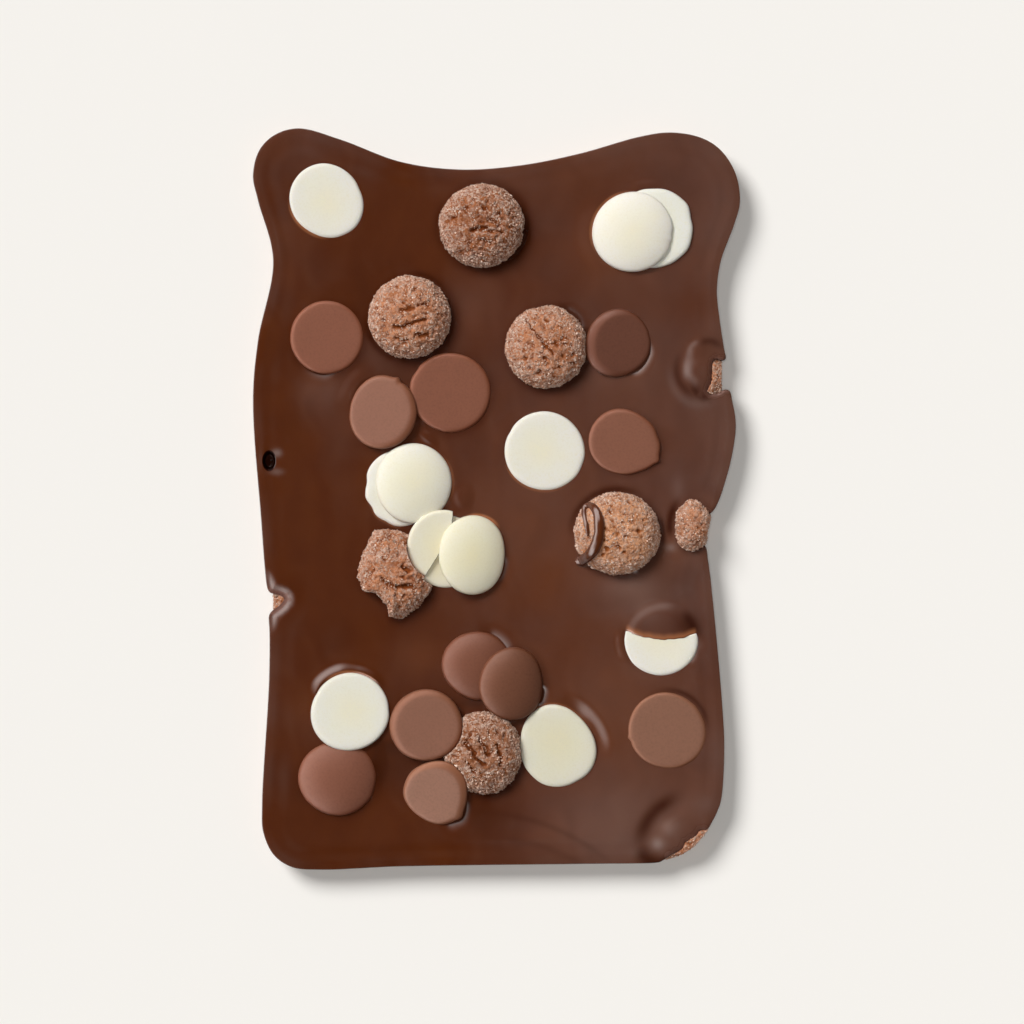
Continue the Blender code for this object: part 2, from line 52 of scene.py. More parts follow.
# The camera looks straight down from far away.
CAMERA_HEIGHT = 1400.0
VIEW_WIDTH = 248.8
VIEW_CENTRE = (3.77, -3.16)

FLOOR_REACH = 3000.0  # each way from the middle

# The room: what matt surfaces get from all sides, and what glossy ones mirror.
ROOM_LEVEL = 0.1
ROOM_GLOSS = 0.035
# A soft band of light, which only gloss shows: towards the left and the top, between two heights.
BAND_LEVEL = 8.0
BAND_DIRECTION = (-0.966, 0.259, 0.0)
BAND_SIDE = (-0.16, 0.2)
BAND_TOP = (0.975, 0.66)
BAND_FOOT = (0.1, 0.4)
# name, direction it comes from, angle from straight above, width across, strength
SUNS = [("key", 135, 47, 27, 2.9), ("fill", 0, 0, 14, 0.93)]


def rows(text):
    """Rows of numbers, with commas between them."""
    return [tuple(map(float, row.split())) for row in text.split(",")]


def named(text):
    """Rows of numbers for each name."""
    entries = (entry.split(":") for entry in text.split(";"))
    return {name.strip(): rows(values) for name, values in entries}


def pieces(kind, text):
    """One piece for each line."""
    lines = (line.split() for line in text.strip().splitlines())
    return [kind(*(word if word[0].isalpha() else float(word) for word in line)) for line in lines]


# Outline of the slab, clockwise from the top left lobe.
OUTLINE = rows("""
    -48.2 90.2, -38 87.5, -23.4 82.1, -8.9 80.2, 5.7 81.2, 20.3 84.1, 34.9 88.2, 42.2 89.2, 49.5 88, 54.3 85.1,
    58 79.5, 59.2 72.4, 57.9 67.1, 54.6 58.1, 53.6 50.8, 54.3 43.5, 55.5 35.7, 57.1 25, 58.2 18.5, 57 9.5, 54.1 -0.2,
    52.2 -4.4, 51.2 -9, 52.1 -19.7, 54.8 -48.8, 55.4 -61, 54.6 -73.1, 52.4 -78.6, 47.1 -85, 39.1 -88.3, 20 -88.6,
    -23.4 -89.2, -42.9 -90, -49.7 -89.4, -54.1 -86.5, -56.7 -80.9, -57 -74.4, -55.3 -44, -55.3 -29.4, -57.2 -5.1,
    -59.2 24.1, -58 38.6, -54.3 58.1, -58 72.7, -59.2 78.7, -57.7 84.8, -54.1 88.5
""")
# For each opening in it: the points that it takes out, and what it puts between their neighbours.
NOTCHES = [
    # right
    (rows("55.5 35.7"), rows("""
        55.1 38.2, 55.5 35.9, 55.75 34.9, 55.75 34.25, 55.2 33.75, 54.4 33.8, 53.5 34, 52.8 33.6, 52.45 32.6, 52.45 31,
        52.4 29.2, 52.1 28, 51.6 27.1, 51.4 26.3, 52 25.6, 53.2 25.6, 54.3 26, 55.2 26.6, 56 26.7, 56.7 26.3,
        57.05 25.5, 57.2 24.6
    """)),
    # beside biscuit
    (rows("52.2 -4.4, 51.2 -9"), rows("""
        53 -2.4, 52.3 -3.2, 51.5 -3.6, 50.6 -3, 49.6 -2.5, 48.8 -4.2, 48.7 -7, 49.2 -9.6, 50 -10.9, 50.7 -11.3,
        51.15 -12.4, 51.4 -14.4
    """)),
    # corner
    (rows("52.4 -78.6, 47.1 -85"), rows("""
        53.7 -75.8, 52.5 -78.3, 51.5 -79.9, 50.9 -80.4, 50.3 -80.3, 49.3 -80.7, 48.5 -81.8, 47.2 -82.6, 45.9 -83.5,
        45.3 -84.8, 43.9 -85.7, 42 -86.7, 40.8 -87.5, 39.9 -88.1
    """)),
    # left
    (rows("-55.3 -29.4"), rows("""
        -55.2 -32, -55.35 -29.6, -55.35 -28.5, -55 -27.6, -54.3 -26.9, -53.6 -26.4, -52.7 -25.7, -52 -24.9,
        -51.65 -24.2, -52.1 -23.6, -53 -23.2, -54 -22.95, -54.9 -22.75, -55.5 -22.1, -55.85 -21, -56.3 -17
    """)),
]
NOTCH_REACH = 6.5
FAR = 99.0  # from any edge

# Wall of the slab: distance inwards from the outline, height.
WALL = rows("2.3 0, 1.5 0.4, 0.62 3.3, 0.03 5.4, 0 5.7, 0.015 5.85, 0.05 6.05")
# The same for what lies against it inside, height first.
WALL_INSIDE = rows("0 2.3, 0.4 1.5, 3.3 0.62, 5.7 0, 20 0")
# Surface near the wall: distance inwards, height against the level surface.
EDGE_RISE = rows("""
    0 -0.22, 0.03 -0.14, 0.08 -0.09, 0.2 -0.06, 0.5 -0.02, 1.1 0.04, 1.8 0.085, 2.4 0.08, 3.2 0.04, 4 0.03, 5 0.085,
    6 0.1, 7.2 0.05, 8.6 0.02, 11 0
""")
# The same beside an opening, and beside the one at the left.
NOTCH_RISE = rows("0 -0.55, 0.05 -0.34, 0.14 -0.2, 0.3 -0.09, 0.6 -0.02, 1.2 0.03, 2.4 0")
LEFT_NOTCH_RISE = rows("0 -0.86, 0.1 -0.76, 0.4 -0.71, 0.9 -0.62, 1.4 -0.44, 2 -0.23, 2.7 -0.1, 3.6 -0.03, 4.8 0")
# Points of the surface: a grid, rows along the outline (distance inwards, step), and rings round each piece.
RIM_STEP = 0.45
GRID_STEP = 0.62
EDGE_ROWS = rows("0.1 0.4, 0.2 0.4, 0.36 0.4, 0.6 0.45, 0.9 0.5, 1.25 0.55, 1.7 0.6, 2.3 0.62")
EDGE_ROWS_KEPT = 4  # of these rows are kept close to the bubble
RIM_ROWS = (-1.6, -1.0, -0.5, -0.1, 0.2, 0.5, 0.85, 1.25, 1.7, 2.2, 2.75)
RIM_POINTS = 150
CLEAR_OF_EDGE = 2.7
CLEAR_OF_PIECES = 3.0

# A button is round in plan but for an oval and an egg share, each with its direction. Then: the side that shows,
# its height, its tilt, and the direction in which it rises.
Button = namedtuple("Button", "name x y radius oval oval_turn egg egg_turn side height tilt raised")
BUTTONS = pieces(Button, """
    white_button_top_left -41.3 72.4 9.15 0.049 -47 0.01 -43 flat 6.9 1 60
    white_button_top_right_back 38.1 66 9.75 0.012 80 0.012 25 flat 7.2 3 0
    white_button_top_right_front 32.9 64.9 9.9 0.013 30 0.004 -50 dome 9.6 4 -10
    milk_button_left -41.2 39.3 9 0.003 64 0.001 0 flat 7 2 200
    milk_button_leaning_right 29.5 37.8 8.35 0.035 70 0.012 -21 flat 7.8 9 175
    milk_button_middle -11.2 25.9 9.85 0.014 -15 0.01 33 flat 7.4 2 150
    white_button_cluster_back -22.8 2.8 9.4 0.01 60 0.02 18 flat 6.9 3 180
    white_button_cluster_front -19.9 3.9 9.55 0.026 90 0.008 20 dome 9.9 5 195
    milk_button_leaning_left -27.6 21.1 8.7 0.055 80 0.014 -15 flat 8.2 8 -40
    milk_button_right 30.9 13.8 8.5 0.066 -20 0.018 -19 flat 7.1 2 30
    white_button_centre 11.7 11.6 9.8 0.01 -19 0.007 -24 flat 7 1 120
    white_button_broken_lower -12 -12.8 8.8 0.01 80 0.005 10 flat 7.4 4 150
    white_button_broken_upper -13.2 -11.2 8.55 0.015 60 0.005 40 flat 8.9 5 120
    white_button_tilted -5.4 -13.6 8.9 0.095 88 0.01 50 dome 10.8 12 175
    white_button_half_coated 39.9 -34 9.2 0.004 10 0.008 -23 flat 6.7 1 270
    white_button_bottom_right 14.7 -60.2 9.75 0.056 -68 0.033 -10 flat 7.1 1 20
    milk_button_bottom_right 41.5 -56.3 9.5 0.031 -33 0.007 -27 flat 7 1 200
    milk_button_low_left -38.6 -67.6 9.4 0.02 2 0.01 50 dome 8.9 3 250
    white_button_bottom_left -35.6 -51.7 9.6 0.016 38 0.011 -19 flat 7.5 3 260
    milk_button_pair_back -4.5 -40.4 8.5 0.021 -32 0.015 52 dome 8.9 5 200
    milk_button_pointed -14.6 -71.3 7.95 0.03 -41 0.043 54 flat 8.3 12 60
    milk_button_on_biscuit -17.2 -54.9 9 0.014 19 0.006 -25 flat 9 3 10
    milk_button_pair_front 4.1 -44.8 8.35 0.07 88 0.02 -48 dome 10.6 12 190
""")
HALF_COATED = next(button for button in BUTTONS if button.name == "white_button_half_coated")
BUTTON_THICKNESS = 3.2
# From the middle of the flat side over the rim to the top of the dome: share of the radius, depth.
BUTTON_CURVE = rows("""
    0 0, 0.5 0, 0.8 0, 0.88 0.015, 0.925 0.06, 0.96 0.17, 0.985 0.34, 1 0.62, 0.995 0.95, 0.965 1.3, 0.9 1.68, 0.8 2.1,
    0.66 2.52, 0.48 2.88, 0.26 3.12, 0 3.2
""")
BUTTON_SEGMENTS = 144
BUTTON_RINGS = 44
MIN_STAND = 0.32  # how far a flat button's rim stands above the chocolate at least
MAX_LIFT = 0.6
# Small flaws in the buttons' outlines: direction, half width in degrees, depth (a spike if negative).
FLAWS = named("""
    white_button_top_left: 20 9 0.12, -62 12 0.1, 100 14 -0.08;
    white_button_top_right_front: -4 5 0.3, -17 4 0.3, 30 8 0.1;
    white_button_top_right_back: 14 10 0.3, 34 9 -0.2, -32 15 -0.45, -58 12 -0.15, 90 12 0.25;
    white_button_cluster_back: 172 10 0.5, 213 9 0.4, 243 10 0.35, 195 6 -0.2;
    white_button_cluster_front: 80 16 -0.1;
    white_button_centre: 150 6 0.15, -20 10 0.1;
    white_button_bottom_right: 186 4 0.25, -60 12 0.2, 120 14 0.15, 230 14 0.2;
    white_button_bottom_left: 150 7 0.12, 5 6 0.1;
    milk_button_leaning_left: 66 3.5 -0.45, 57 4 0.25;
    milk_button_middle: 148 8 0.25, -98 4 -0.1;
    milk_button_right: -28 6 -0.75, 10 10 0.3, -60 14 0.3;
    milk_button_bottom_right: 190 3 -0.35, 198 5 0.12, 42 7 -0.1;
    milk_button_pointed: -46 8 -0.55, 160 16 0.15;
    milk_button_low_left: -30 8 -0.12, 75 7 -0.1;
    milk_button_on_biscuit: -150 10 0.12;
    milk_button_leaning_right: 150 14 -0.06
""")
# Buttons whose flat face is small, and lies to one side: share of the radius, shift x, y, depth of the rim.
SHOULDERS = named("""
    milk_button_leaning_right: 0.8 0.95 -0.05 1.3;
    milk_button_on_biscuit: 0.83 0.35 -0.3 1.1;
    milk_button_pointed: 0.82 -0.55 -0.5 1.2;
    milk_button_leaning_left: 0.86 -0.5 0.1 1.1;
    milk_button_right: 0.89 0.1 -0.2 0.9
""")
# The crack through the broken button, and on past both its ends.
CRACK = rows("-9.2 12, -10.6 -2, -10.8 -6.2, -13.4 -12.6, -17.6 -19, -26 -33")

Biscuit = namedtuple("Biscuit", "name x y rx ry top seed")
BISCUITS = pieces(Biscuit, """
    biscuit_top -3.6 66.4 10.5 10.3 13 1
    biscuit_upper_left -21.1 44.2 10.2 10.2 12.6 2
    biscuit_upper_right 12.1 36.9 10.1 10.2 12.8 3
    biscuit_drizzled 29.3 -8.4 10.6 10.2 13.2 4
    biscuit_at_right_edge 47.6 -6.4 4.6 6.6 10.4 5
    biscuit_broken -24.3 -18.2 9.6 10.9 11.2 6
    biscuit_bottom -3.2 -61.7 9.8 10.2 12 7
    biscuit_in_right_notch 48.8 30 6 5.9 7.5 8
    biscuit_in_left_notch -51.3 -24.5 3.3 3.5 5.6 9
    biscuit_in_corner 43.6 -80.2 8.3 7.2 7.4 10
""")
BISCUIT_BASE = 1.4
BISCUIT_FULLNESS = 0.8
# These lie under the chocolate, and show only where the slab's edge is open.
COVERED = ("biscuit_in_right_notch", "biscuit_in_left_notch", "biscuit_in_corner")
SHOWN = [piece for piece in BUTTONS + BISCUITS if piece.name not in COVERED]
# The straight side of two of them, which stood against the mould.
FLAT_SIDES = {"biscuit_in_right_notch": 54.65, "biscuit_in_left_notch": -54.2}
# These are drawn fuller than in the frame, up to that side or the wall: by how much.
FULLER = {"biscuit_in_right_notch": 1.5, "biscuit_in_left_notch": 1.1, "biscuit_in_corner": 1.3}
BROKEN_OUTLINE = rows("""
    -29.8 -8.3, -31.5 -11.2, -32.7 -14.8, -33.8 -18.2, -33.5 -20.4, -32.7 -22, -29.5 -22.6, -28.1 -23.8, -26.4 -25.8,
    -25.8 -28.4, -23.9 -29, -20 -27.5, -16.9 -24.5, -15.2 -20.4, -14.7 -16.8, -16.2 -12.6, -19.1 -9.5, -22.7 -7.8,
    -26.6 -7.3
""")
BREAK = (234, 34)  # the broken side's direction and half width in degrees
# Cracks in the biscuits' tops: width, depth, and the points of the line.
CRACKS = named("""
    biscuit_upper_left: 0.55 1.1 -24.9 41.6 -23 41.4 -20.9 42.2 -18.7 43 -16.9 43.4,
        0.5 0.7 -23.6 45.6 -21.6 45.9 -19.8 46.2, 0.45 0.8 -18.6 47.2 -17.2 47.3 -16.2 47,
        0.5 0.9 -19.2 39.7 -17.8 39.3 -16.4 39.6, 0.4 0.5 -24.6 38.7 -22.9 38.2 -21.3 38.4;
    biscuit_upper_right: 0.4 0.75 7 44.3 8.2 41.6 10.2 39.3 12.2 37.1 14 35.2, 0.4 0.45 11.4 33.6 12.6 32.4;
    biscuit_top: 0.4 0.6 -8 70.5 -7 70.8, 0.45 0.6 -3.6 70.9 -2.2 70.3, 0.45 0.6 0.2 65 1.6 64.5,
        0.6 0.9 -6 65 -3.4 65.4 -1 64.6, 0.5 0.7 -3.6 62.6 -1.4 61.9, 0.6 0.7 -1.2 67.6 0.8 66.2;
    biscuit_bottom: 0.6 1 -7.9 -58.9 -6.2 -60.6 -5.2 -62.9 -3 -64.2, 0.6 1 -4.2 -57.6 -2.9 -59.9 -1.8 -61.9,
        0.5 0.8 0.4 -59.6 1.4 -62.4 1.2 -64.8, 0.5 0.7 -7.4 -63.8 -5.4 -66.4;
    biscuit_broken: 0.6 1.1 -28.2 -19.4 -26 -20.8 -23.6 -21.6 -21.2 -21.2 -19.4 -21.6, 0.5 0.9 -22.6 -16.2 -20.9 -17.6
""")
SUGAR_PER_MM2 = 4.0
GRAIN_SIZES = (0.2, 0.26, 0.3, 0.36, 0.46)

# The chocolate close to a piece: direction and half spread in degrees, how far it reaches from the rim, and how
# much it climbs there (it falls towards the piece if negative). It is steepest at the rim, or halfway to the
# distance that comes last.
CONTACTS = named("""
    milk_button_left: -112 44 3.6 -0.5;
    milk_button_leaning_right: -34 46 2.5 -0.5, 175 50 2 0.12;
    biscuit_upper_right: 50 26 3.4 -0.5;
    milk_button_middle: -60 70 2.6 -0.14;
    milk_button_leaning_left: 140 46 4.6 0.34 1;
    milk_button_right: -50 75 2 -0.08;
    milk_button_bottom_right: 80 60 2 -0.16;
    milk_button_pair_back: 50 44 3.4 -0.48;
    milk_button_pair_front: -24 24 2.6 -0.4;
    milk_button_pointed: -50 40 3.6 -0.55;
    white_button_top_right_front: 188 70 5.2 0.55 -1;
    white_button_top_right_back: 100 26 3 0.26 0.5;
    white_button_centre: 165 55 3.4 0.2 0.5;
    white_button_tilted: -28 32 2.8 -0.3;
    white_button_bottom_right: 33 62 4.2 -0.7 0.5, 60 30 2 -0.2;
    white_button_bottom_left: 120 42 3 0.74 0, 66 34 2.4 0.4 0.1;
    white_button_half_coated: -20 30 2.4 -0.35, 190 30 2.4 0.3 0.3;
    biscuit_drizzled: -48 26 3.4 0.6;
    biscuit_at_right_edge: -132 36 3.4 0.2 0.4
""")
# Where a thin film of chocolate lets a white button's rim show through: direction, half spread, how clearly.
FILMS = named("""
    white_button_top_left: 225 60 0.8;
    white_button_top_right_front: 150 80 0.5;
    white_button_cluster_front: 0 60 0.4;
    white_button_cluster_back: 240 50 0.3;
    white_button_tilted: 76 36 0.75;
    white_button_centre: 250 70 0.5;
    white_button_bottom_left: 88 56 1;
    white_button_bottom_right: 80 60 0.5
""")
# Painted shadow: the chocolate's colour darkened beside a biscuit or button, most on the side away from the key light:
# how strong, and how far from the rim.
PAINTED_SHADOWS = named("""
    biscuit_top: 1 2.2;
    biscuit_upper_left: 1 2.4;
    biscuit_upper_right: 0.9 2;
    biscuit_drizzled: 0.6 1.4;
    biscuit_bottom: 0.8 1.6;
    biscuit_broken: 0.9 2;
    biscuit_at_right_edge: 0.5 1.2;
    milk_button_left: 0.45 1.4;
    milk_button_middle: 0.45 1.4;
    milk_button_low_left: 0.5 1.6;
    milk_button_pair_front: 0.5 1.2;
    milk_button_on_biscuit: 0.4 1.4;
    milk_button_right: 0.4 1.2;
    white_button_bottom_left: 0.3 1.2;
    white_button_tilted: 0.3 1
""")
# The direction, in degrees, towards which that painted shadow reaches furthest.
PAINTED_SHADOW_DIRECTION = -35
# Clouds of painted sheen and painted shade in the chocolate's colour: centre x, y, radius x, y, how much paleness
# (painted sheen and highlights), how much warmer in hue (where negative, darker as painted shade).
TONES = rows("""
    50 0 44 120 18 2, 2 0 22 34 8 0, 30 -80 22 13 27 22, 34 -22.5 9 6 32 22, -57 -45 4.5 26 9 0, -46 86 14 7 11 0,
    30 87 22 6 8 6, -42 27 8 5 16 12, -40 20 8 9 6 2, -29 35 5 5 10 0, 57 40 7 60 12 13, 55 -21 6 8 14 16,
    56 -63 5 9 16 8, 30 33 11 8 9 8, -6 47 8 7 9 12, 1 80 11 7 9 4, 9 -8 16 20 0 25, 29 60 11 9 4 30, 20 82 18 8 0 10,
    28 -50 18 15 2 27, 43 -11 6 5 8 22, 50 71 9 16 6 2, 32 26 10 14 0 10, -19 -38 6 5 2 20, -43 -52 8 7 5 16,
    -17 31 12 10 4 -14, -32 50 8 6 -2 -15, 4 65 5 8 0 -12, -24 -64 9 6 0 -16, -2 -76 9 8 -3 -22, 46 -28 8 13 -2 -12,
    47 72 8 9 0 -5, -46 -74 13 12 -2 -4, -36 2 8 12 3 2, -50 60 9 16 6 4, -28.6 -65.2 2 3.8 0 -36,
    -27 -60.2 3.2 1.6 0 -30, -5.1 -49.4 3.8 1.4 0 -36, -12.2 -63.1 2.2 1.6 0 -36, 49.5 47 6 8 -10 3, -40 -82 11 6 -8 4,
    -45 -8 9 14 -5 3, -21 65 8 9 -5 3, 12 -20 11 8 -6 7, 20 -34 10 9 -4 3, -52 30 5 16 -4 2, 36 -27.5 3 3 10 8,
    46.5 -31 3 2.4 -10 -22, 47.5 -9 2.4 6 14 8, -53.4 11.2 1.2 0.9 90 0, -53.4 6.6 1.7 0.8 50 0,
    -57.4 9.6 0.6 2.6 14 0, 41.7 -79.8 2 1.8 38 16, 39.1 -83.8 1.5 1.4 76 6, 34.4 -86 2.2 1.4 18 4,
    42.3 -11.8 1.2 0.9 60 0, 50.8 -74.4 2.6 2 12 0, 44.1 2.5 1.5 3.2 18 8, 36.6 -14 2.4 1.4 12 0
""")
TONE_UNIT = 420  # of these shades make 1 in the material
# Rings of painted shade and painted sheen round a swelling or a piece: centre x, y, radius x, y, turn, direction, half
# spread, width, how dark (painted shade), how much paleness (painted sheen).
RINGS = rows("""
    43.6 -80.6 9.4 6.9 42 145 78 0.24 0.85 -16, 43.6 -80.6 10 6.4 42 232 42 0.22 0.9 -16,
    47.6 -6.4 5.5 7.4 0 165 60 0.16 1 -14, -3.6 66.4 11.2 11 0 -20 75 0.09 0.95 -8,
    -3.6 66.4 11 10.8 0 178 45 0.07 0.5 0, -21.1 44.2 10.8 10.8 0 222 66 0.08 0.9 -6,
    -21.1 44.2 10.8 10.8 0 50 60 0.07 0.75 0, 29.3 -8.4 11.2 10.8 0 118 80 0.08 0.8 -6,
    29.3 -8.4 11.2 10.8 0 2 30 0.07 0.8 0, 12.1 36.9 10.7 10.8 0 -30 80 0.08 0.9 -6,
    39.9 -34 8.4 8.4 0 28 30 0.16 0.8 0, 41.5 -56.3 9.9 9.9 0 50 60 0.06 0.75 0, -6 -128 52 52 0 68 24 0.014 0.3 0,
    -4 -130 48 48 0 66 26 0.018 0.22 0, 49.4 31.8 5.7 6.6 0 205 75 0.14 0.6 0, 49.4 31.8 7.4 9 0 238 76 0.13 0 20,
    51.6 35.6 3 2.8 0 80 80 0.3 0.6 0, 52.6 27.4 4.6 3 0 215 60 0.25 0.8 0
""")
# How much painted sheen the chocolate gets at distances inwards from the outline.
EDGE_SHEEN = rows("0 3, 0.4 8, 1.8 8, 2.6 0, 3.4 0, 4.6 5, 5.6 5, 7 0, 9 0")
# Swellings and hollows of the surface: centre x, y, radius x, y, turn in degrees, height.
SWELLINGS = rows("""
    49.9 31.4 4.1 5 0 1.15, 48.8 36.4 2.4 2 0 0.3, 48.4 30.6 9.6 9.4 0 -0.4, 50.8 24 9 3.4 -14 0.22,
    50.8 38.6 2.4 2.6 0 0.2, 44.8 -80.4 7.2 5.2 42 0.42, 41 -84.2 3.3 2.6 0 0.4, 44.6 -79.6 3.4 2.6 30 0.24,
    42.2 -79.4 11.5 8.4 42 -0.36, 52 -73.6 3.6 3 0 0.14, 36.6 -86.4 2.6 2.2 0 0.14, -16.6 15 2.6 1.3 -35 0.3,
    -8.1 0.4 2.2 2.8 0 0.4, -23.1 -79.4 1.9 1.7 0 0.07, 30.6 -20.6 10 5 8 0.4, 44.6 -22.4 5 5 0 -0.3, 56 20 8 7 0 -0.3,
    14 -84.2 26 2.8 -2 0.16, 2 -78.6 10 4 -12 -0.2, 12 -74 9 12 20 0.2, -50 62 3 22 -4 -0.14, -46 20 4 24 4 -0.12,
    -33 -36 12 5 20 -0.2, -20 -28 16 6 30 0.16, 5 -2 14 9 50 0.2, 24 55 8 12 -20 0.2, -12 8 6 8 0 0.2
""")
# Slow waves of the whole surface: height, length, place in the noise, seed.
WAVES = ((0.17, 30.0, 15, 0), (0.045, 11.0, 0, 3))

BUBBLE = (-55.25, 9.3, 1.48, 2.22)  # centre x, y and radii of a burst bubble
BUBBLE_DEPTH = 4.2
BUBBLE_DIP = (0.5, 0.7, 0.12)  # shift and depth of the hollow round it
BUBBLE_RINGS = (0.25, 0.5, 0.7, 0.82, 0.9, 0.97, 1.03, 1.1, 1.2, 1.35, 1.55, 1.8, 2.1, 2.45)

# The coat on the half-covered button ends at this line, and rises over the button's face.
COAT_EDGE = rows("29 -31.2, 31 -31.6, 34.4 -33.1, 38.2 -33.9, 42 -34.1, 45.6 -33.6, 49 -32.2")
COAT_RISE = 0.68
COAT_REACH = 1.07  # in the button's radius
COAT_FINE = 1.15  # the same, where the coat has its own points
COAT_BOX = (27.5, 52.0, -37.0, -18.0)
COAT_STEP = 0.42
COAT_ROWS = (-0.3, 0.03, 0.14, 0.32, 0.6)  # rows of points along the line, and how far past it

# The drizzle on a biscuit: a loop that starts on the chocolate, and its half width.
DRIZZLE = rows("""
    19.2 -15.5 1.2, 20.6 -14.9 1.4, 22.3 -13.9 1.45, 23.6 -12.3 1.5, 24.5 -10.2 1.5, 24.9 -8 1.4, 24.9 -5.6 1.35,
    24.4 -3.4 1.2, 23.5 -1.9 1, 22.4 -1.3 0.85, 21.4 -1.9 0.75, 21.1 -3.2 0.65, 21.4 -4.9 0.55, 21.9 -6.9 0.5,
    22.1 -9 0.5
""")
DRIZZLE_POINTS = 90
DRIZZLE_SIDES = 20

# Base colours of the kinds, and of the pieces that differ.
TINTS = named("""
    white: 0.742 0.712 0.605;
    milk: 0.186 0.07 0.042;
    biscuit: 0.44 0.178 0.086;
    white_button_top_right_front: 0.762 0.725 0.615;
    white_button_top_right_back: 0.725 0.71 0.605;
    white_button_tilted: 0.76 0.715 0.53;
    white_button_cluster_front: 0.77 0.735 0.595;
    white_button_bottom_right: 0.652 0.62 0.485;
    white_button_broken_upper: 0.735 0.69 0.53;
    white_button_broken_lower: 0.7 0.65 0.49;
    white_button_bottom_left: 0.712 0.69 0.585;
    milk_button_leaning_right: 0.103 0.0385 0.0235;
    milk_button_leaning_left: 0.196 0.087 0.057;
    milk_button_pair_front: 0.122 0.047 0.026;
    milk_button_pointed: 0.228 0.111 0.074;
    milk_button_on_biscuit: 0.18 0.08 0.051;
    milk_button_pair_back: 0.136 0.05 0.029;
    milk_button_low_left: 0.16 0.06 0.036;
    milk_button_bottom_right: 0.194 0.091 0.058;
    milk_button_right: 0.166 0.066 0.04;
    milk_button_middle: 0.178 0.067 0.04;
    biscuit_top: 0.29 0.1 0.04;
    biscuit_drizzled: 0.548 0.253 0.126;
    biscuit_at_right_edge: 0.472 0.206 0.108;
    biscuit_bottom: 0.285 0.11 0.05;
    biscuit_broken: 0.44 0.175 0.082
""")


def new_object(name, vertices, faces, smooth=True):
    """A mesh object from vertices in millimetres and faces."""
    mesh = bpy.data.meshes.new(name)
    mesh.from_pydata((np.asarray(vertices) * MM).tolist(), [], faces)
    mesh.update()
    if smooth:
        mesh.shade_smooth()
    obj = bpy.data.objects.new(name, mesh)
    bpy.context.scene.collection.objects.link(obj)
    return obj


def closed(obj):
    """Turns all faces of a closed piece outwards."""
    bm = bmesh.new()
    bm.from_mesh(obj.data)
    bmesh.ops.recalc_face_normals(bm, faces=bm.faces)
    bm.to_mesh(obj.data)
    bm.free()
    return obj


def set_attribute(obj, name, values):
    """One number for each vertex, for the material to read."""
    attribute = obj.data.attributes.new(name, "FLOAT", "POINT")
    attribute.data.foreach_set("value", np.asarray(values, dtype=np.float32))


def dress(obj, material, slot, *nodes):
    obj.data.materials.append(material)
    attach(obj, "root")
    if nodes:
        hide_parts(*nodes)


def tube_faces(rings, sides, start=0):
    """Quads between rings of points."""
    turns = [(i, (i + 1) % sides) for i in range(sides)]
    levels = range(start, start + (rings - 1) * sides, sides)
    return [(k + i, k + j, k + j + sides, k + i + sides) for k in levels for i, j in turns]


def smoothstep(t):
    t = np.clip(t, 0.0, 1.0)
    return t * t * (3 - 2 * t)


def curve_at(table, at):
    return np.interp(at, *np.array(table).T)


def lengths(points):
    """Distance along a line of points, at each of them."""
    return np.concatenate([[0], np.cumsum(np.hypot(*np.diff(points, axis=0).T))])


def smooth_loop(points, steps=24):
    """A closed centripetal curve through the points."""
    out = []
    for p0, p1, p2, p3 in zip(*(np.roll(np.array(points), shift, axis=0) for shift in (1, 0, -1, -2))):
        t1 = math.sqrt(math.dist(p0, p1))
        t2 = t1 + math.sqrt(math.dist(p1, p2))
        t3 = t2 + math.sqrt(math.dist(p2, p3))
        for t in np.linspace(t1, t2, steps, endpoint=False):
            a1 = (t1 - t) / t1 * p0 + t / t1 * p1
            a2 = (t2 - t) / (t2 - t1) * p1 + (t - t1) / (t2 - t1) * p2
            a3 = (t3 - t) / (t3 - t2) * p2 + (t - t2) / (t3 - t2) * p3
            b1 = (t2 - t) / t2 * a1 + t / t2 * a2
            b2 = (t3 - t) / (t3 - t1) * a2 + (t - t1) / (t3 - t1) * a3
            out.append((t2 - t) / (t2 - t1) * b1 + (t - t1) / (t2 - t1) * b2)
    return np.array(out)


def resampled(curve, step):
    """The closed curve's points at even distances, and its outward normals."""
    ahead = np.vstack([curve, curve[:1]])
    along = lengths(ahead)
    at = np.linspace(0, along[-1], int(along[-1] / step), endpoint=False)
    points = np.stack([np.interp(at, along, ahead[:, k]) for k in (0, 1)], axis=1)
    tangent = np.roll(points, -1, axis=0) - np.roll(points, 1, axis=0)
    tangent /= np.hypot(*tangent.T)[:, None]
    return points, np.stack([-tangent[:, 1], tangent[:, 0]], axis=1)


def inside(points, loop):
    """Which points lie inside a closed loop."""
    within = np.zeros(len(points), bool)
    for (ax, ay), (bx, by) in zip(loop, np.roll(loop, -1, axis=0)):
        if ay != by:
            crosses = (ay > points[:, 1]) != (by > points[:, 1])
            within ^= crosses & (points[:, 0] < ax + (points[:, 1] - ay) * (bx - ax) / (by - ay))
    return within


def nearest(points, targets):
    """Distance from each point to the nearest target, and which target that is."""
    tree = kdtree.KDTree(len(targets))
    for i, (x, y) in enumerate(targets):
        tree.insert((x, y, 0), i)
    tree.balance()
    found = [tree.find((x, y, 0)) for x, y in points]
    return np.array([distance for _, _, distance in found]), [i for _, i, _ in found]


def gap_to(points, targets):
    return nearest(points, targets)[0]


def line_distance(x, y, line):
    """Distance from places to a line of points."""
    best = np.full(np.shape(x), 1e9)
    for (ax, ay), (bx, by) in zip(line, line[1:]):
        length = (bx - ax) ** 2 + (by - ay) ** 2
        t = np.clip(((x - ax) * (bx - ax) + (y - ay) * (by - ay)) / length, 0, 1)
        best = np.minimum(best, np.hypot(x - ax - t * (bx - ax), y - ay - t * (by - ay)))
    return best


